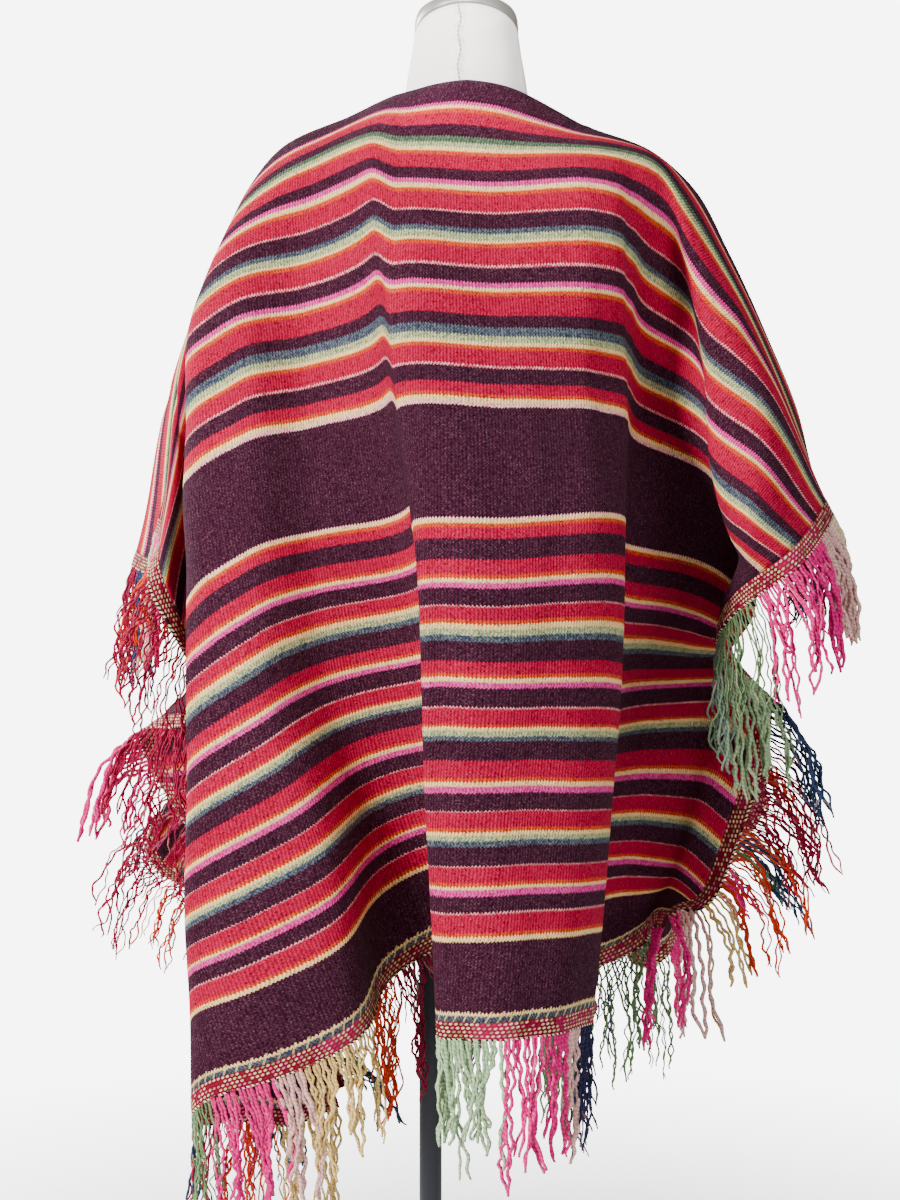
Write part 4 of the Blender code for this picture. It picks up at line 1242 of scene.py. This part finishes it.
def formTorso(material):
    table = np.array(form["rings"])
    low, high = form["foot"], form["neckTop"]
    heights = np.linspace(low, high, math.ceil((high - low) / form["ringStep"]) + 1)
    off = np.linspace(-np.pi, np.pi, form["sides"] + 1)  # the map is cut across from the seam
    angles = off[:-1] + form["seamAngle"]
    rings, fromSeam = [], []
    for height in heights:
        wide, deep, x, y = (0.5 * float(smoothCurve(table[:, 0], table[:, k], height))
                            + 0.5 * float(np.interp(height, table[:, 0], table[:, k]))
                            for k in range(1, 5))
        slim = form["underCloth"] * easeStep(1.19, 1.25, height) * (1 - easeStep(1.372, 1.392, height))
        tuck = form["footRound"] * (1 - easeStep(low, low + form["footRise"], height)) ** 2
        tilt = form["neckTilt"] * easeStep(1.400, high, height) * np.sin(angles)
        fromSeam.append(off * 0.5 * (wide + deep))  # in metres
        wander = fromSeam[-1][:-1] + form["wobble"] * math.sin((height - low) * form["wobbleTurns"])
        ridge = form["seamHeight"] * np.exp(-((wander / form["seamWidth"]) ** 2))
        gathers = np.exp(-(((np.abs(wander) - form["puckerPlace"]) / form["puckerWidth"]) ** 2))
        wave = math.sin(2 * math.pi * height / form["puckerPitch"])
        grow = ridge + form["pucker"] * gathers * wave - slim - tuck
        rings.append(ringPoints(wide + grow, deep + grow, x, y, height - tilt, angles))
    piece = turned("form_cover", np.array(rings), material, "cotton")
    seam = faceCorners(np.array(fromSeam), (heights - low)[:, None]).reshape(-1, 2)
    ends = np.ones((len(piece.data.loops) - len(seam), 2))
    addMap(piece, "seam", np.concatenate([seam, ends]))
    return piece


# The cap's outline: how far up, and how wide it is there, as shares of its height and its radius.
# Past 1 it turns in over the top, which is domed a little.
capOutline = (
    (0.0, 0.965), (0.04, 0.965), (0.07, 0.992), (0.12, 1.0), (0.35, 1.0), (0.55, 0.992), (0.72, 0.972),
    (0.86, 0.94), (0.95, 0.90), (1.0, 0.85), (1.008, 0.68), (1.018, 0.4675), (1.028, 0.255), (1.036, 0.085),
)


def formCap(material):
    angles = np.linspace(0, 2 * np.pi, form["sides"], endpoint=False) + form["seamAngle"]
    _, radius, _, x, y = form["rings"][-1]
    low, high = form["neckTop"], form["capTop"]
    rings = []
    for share, grow in capOutline:
        tilt = form["neckTilt"] + (form["capTilt"] - form["neckTilt"]) * min(1, share)
        height = low + (high - low) * share - tilt * np.sin(angles) * (grow if share >= 1 else 1)
        rings.append(ringPoints(radius * grow, radius * grow, x, y, height, angles))
    return turned("form_cap", np.array(rings), material, "cap")


def standPieces(material):
    angles = np.linspace(0, 2 * np.pi, stand["sides"], endpoint=False)
    radius, high, bevel = stand["baseRadius"], stand["baseHeight"], stand["baseRound"]
    cut = stand["chamfer"]
    profile = [(radius - 0.002, 0.0), (radius, cut)]
    profile += [(radius - bevel + bevel * math.cos(a), high - bevel + bevel * math.sin(a))
                for a in np.linspace(0, math.pi / 2, 8)]
    profile += [(radius * share, high) for share in (0.85, 0.6, 0.3, 0.12)]
    base = turned("stand_base", roundRings(profile, angles), material, "metal")
    radius, reach, foot = stand["poleRadius"], stand["flangeRadius"], stand["baseHeight"]
    low, high = stand["poleTop"], stand["flangeTop"]
    steps = stand["poleRings"]
    profile = [(radius, foot + (low - foot) * k / steps) for k in range(steps)]
    profile += [(radius + out, low - drop) for out, drop in stand["weld"]]
    profile += [(reach - cut, low), (reach, low + cut), (reach, high)]
    return base, turned("stand_pole", roundRings(profile, angles), material, "metal")


def cottonMaterial():
    surface = {"Roughness": 0.85, "Sheen Weight": 0.12, "Specular IOR Level": 0.25}
    shade = Shade("formCotton", surface)
    around, rise = shade.measures("cotton")
    threads = shade.zigzag(rise / form["thread"]) + shade.zigzag(around / form["thread"])
    cloudy = shade.grain(around * 22, rise * 22, 3.0)
    wrinkle = shade.grain(around * 60, rise * 150, 3.0)
    colour = shade.blend(cloudy, *map(paint, form["cotton"]))
    # the sewn seam at the back of the neck: a painted shadow line along it, and painted shade in the small
    # tucks beside it
    across, height = shade.measures("seam")
    wobble = shade.maths("SINE", height * form["wobbleTurns"]) * form["wobble"]
    wobble = wobble + (shade.grain(height * 160, 0.0, 1.0) - 0.5) * 0.0030
    apart = shade.maths("ABSOLUTE", across + wobble)
    stitches = shade.maths("SINE", height * form["seamShadowTurns"]) > -0.4
    # painted shadow along the seam, broken by its stitches
    gap = (apart < form["seamShadowWidth"]) * (0.55 + 0.45 * stitches)
    colour = shade.blend(gap * 0.9, colour, paint(form["seamShadowColour"]))
    tucks = shade.zigzag(height / form["tuckPitch"] + across * 60, 1.0) * (apart < form["tuckWidth"])
    # painted shade in the small tucks beside the seam
    colour = shade.blend(tucks * 0.25, colour, paint(form["tuckShadeColour"]))
    # painted shade: darker between the threads and in the wrinkles' hollows
    tone = 0.93 + 0.09 * wrinkle + 0.05 * threads
    relief = threads * 0.25 + wrinkle - gap * 2 + tucks
    return shade.finish({"Base Color": shade.shaded(colour, tone),
                         "Normal": shade.bump(relief, 0.45, 0.0009)})


def capMaterial():
    shade = Shade("greyCap", {"Metallic": 0.35, "Specular IOR Level": 0.5})
    around, rise = shade.measures("cap")
    grain = shade.grain(around * 40, rise * 1400)
    marks = shade.grain(around * 90, rise * 90, 4.0)
    return shade.finish({"Base Color": shade.blend(marks, *map(paint, form["cap"])),
                         "Roughness": 0.30 + 0.22 * grain, "Normal": shade.bump(grain, 0.12, 0.0004)})


def metalMaterial():
    shade = Shade("navyMetal", {"Metallic": 0.0, "Specular IOR Level": 0.5})
    around, rise = shade.measures("metal")
    speckle = shade.grain(around * 260, rise * 260, 3.0)
    scuffs = shade.grain(around * 30, rise * 14, 5.0, 0.7)
    dark, worn, scuffed = map(paint, stand["paint"])
    colour = shade.blend(speckle, dark, worn)
    colour = shade.blend((scuffs > 0.66) * 0.35, colour, scuffed)
    return shade.finish({"Base Color": colour, "Roughness": 0.34 + 0.24 * scuffs,
                         "Normal": shade.bump(speckle, 0.10, 0.0004)})


print("building the cloth")
poncho = clothSheet(clothMaterial())
clothTree = surfaceTree()

print("sewing on tapes and fringes")
trimMaterials = [braidMaterial(), cordMaterial()]
tapes = {edge: tapePiece(edge, trimMaterials) for edge in edges}
fringes = {edge: fringePiece(edge, clothTree, yarnMaterial(edge)) for edge in edges}

print("turning the dress form")
cover = formTorso(cottonMaterial())
cap = formCap(capMaterial())
base, pole = standPieces(metalMaterial())

for piece, nodes, slot in (
    (poncho, ("poncho_back", "poncho_front"), "cloth"),
    *((fringes[edge], ("fringe_" + edge,), "fringe") for edge in edges),
    *((tapes[edge], (), "fringe") for edge in edges),
    (cover, ("form_torso",), "form_cover"), (cap, ("neck_cap",), "form_cap"),
    (base, ("base",), "stand"), (pole, ("pole",), "stand"),
):
    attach(piece, "root")
    if nodes:
        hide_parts(*nodes)

print("setting up the studio")
studio = {
    "floorSolid": 0.55,  # the floor fades out between these two radii
    "floorRadius": 1.45,
    "floorHole": 0.02,
    "floorDrop": 0.0004,  # just under the stand
    "floorSides": 96,
    "backdrop": 7.0,  # how bright the plain white behind the object is
    "ambient": 0.25,
    "lights": {  # place, what it points at, size, watts, degrees that it spreads
        "key": ((-2.15, -2.1, 1.8), (0.0, 0.0, 0.80), 0.9, 190, 180),
        "rim": ((-1.9, 1.3, 1.6), (-0.1, 0.0, 1.0), 0.8, 130, 180),
        "top": ((0.4, -0.9, 3.0), (0.0, 0.0, 0.9), 1.4, 22, 180),
        "fill": ((1.7, -2.2, 1.2), (0.1, 0.0, 0.9), 1.4, 30, 180),
        "neck": ((-0.1, -1.6, 1.8), (0.037, 0.0, 1.50), 0.2, 0.5, 14),
    },
}
view = {"place": (0.02, -2.3, 1.067), "lens": 66.99, "sensor": 36, "shift": -0.15}


world = bpy.data.worlds.new("studio")
world.use_nodes = True
tree = world.node_tree
ambient, backdrop = tree.nodes["Background"], tree.nodes.new("ShaderNodeBackground")
for glow, strength in ((ambient, studio["ambient"]), (backdrop, studio["backdrop"])):
    glow.inputs["Color"].default_value = (1, 1, 1, 1)
    glow.inputs["Strength"].default_value = strength
rays = tree.nodes.new("ShaderNodeLightPath")  # only the camera sees the bright backdrop
both = tree.nodes.new("ShaderNodeMixShader")
tree.links.new(rays.outputs["Is Camera Ray"], both.inputs[0])
tree.links.new(ambient.outputs[0], both.inputs[1])
tree.links.new(backdrop.outputs[0], both.inputs[2])
tree.links.new(both.outputs[0], tree.nodes["World Output"].inputs["Surface"])
bpy.context.scene.world = world

for name, (spot, aim, wide, watts, degrees) in studio["lights"].items():
    data = bpy.data.lights.new(name, "AREA")
    data.shape = "DISK"
    data.size = wide
    data.energy = watts
    data.spread = math.radians(degrees)
    lamp = addToScene(name, data, spot)
    lamp.rotation_euler = (Vector(aim) - Vector(spot)).to_track_quat("-Z", "Y").to_euler()

angles = np.linspace(0, 2 * np.pi, studio["floorSides"], endpoint=False)
floorShade = Shade("paleFloor", {"Roughness": 0.9, "Specular IOR Level": 0.1})
spot = floorShade.node("ShaderNodeTexCoord", None, None, 3)
away = floorShade.node("ShaderNodeVectorMath", {"operation": "LENGTH"}, {0: spot}, 1)
fade = (studio["floorRadius"] - away) / (studio["floorRadius"] - studio["floorSolid"])
fade = floorShade.node("ShaderNodeMath", {"operation": "ADD", "use_clamp": True}, {0: fade, 1: 0.0})
tone = floorShade.blend(floorShade.noise(spot, 3.0), paint("fafafa"), paint("f4f4f4"))
rings = roundRings([(studio[key], -studio["floorDrop"]) for key in ("floorRadius", "floorHole")], angles)
material = floorShade.finish({"Base Color": tone, "Alpha": fade})
turned("studio_floor", rings, material, "floor", False, True)

lens = bpy.data.cameras.new("camera")
lens.lens, lens.sensor_width, lens.shift_y = view["lens"], view["sensor"], view["shift"]
camera = addToScene("camera", lens, view["place"])
camera.rotation_euler = (math.pi / 2, 0, 0)
bpy.context.scene.camera = camera
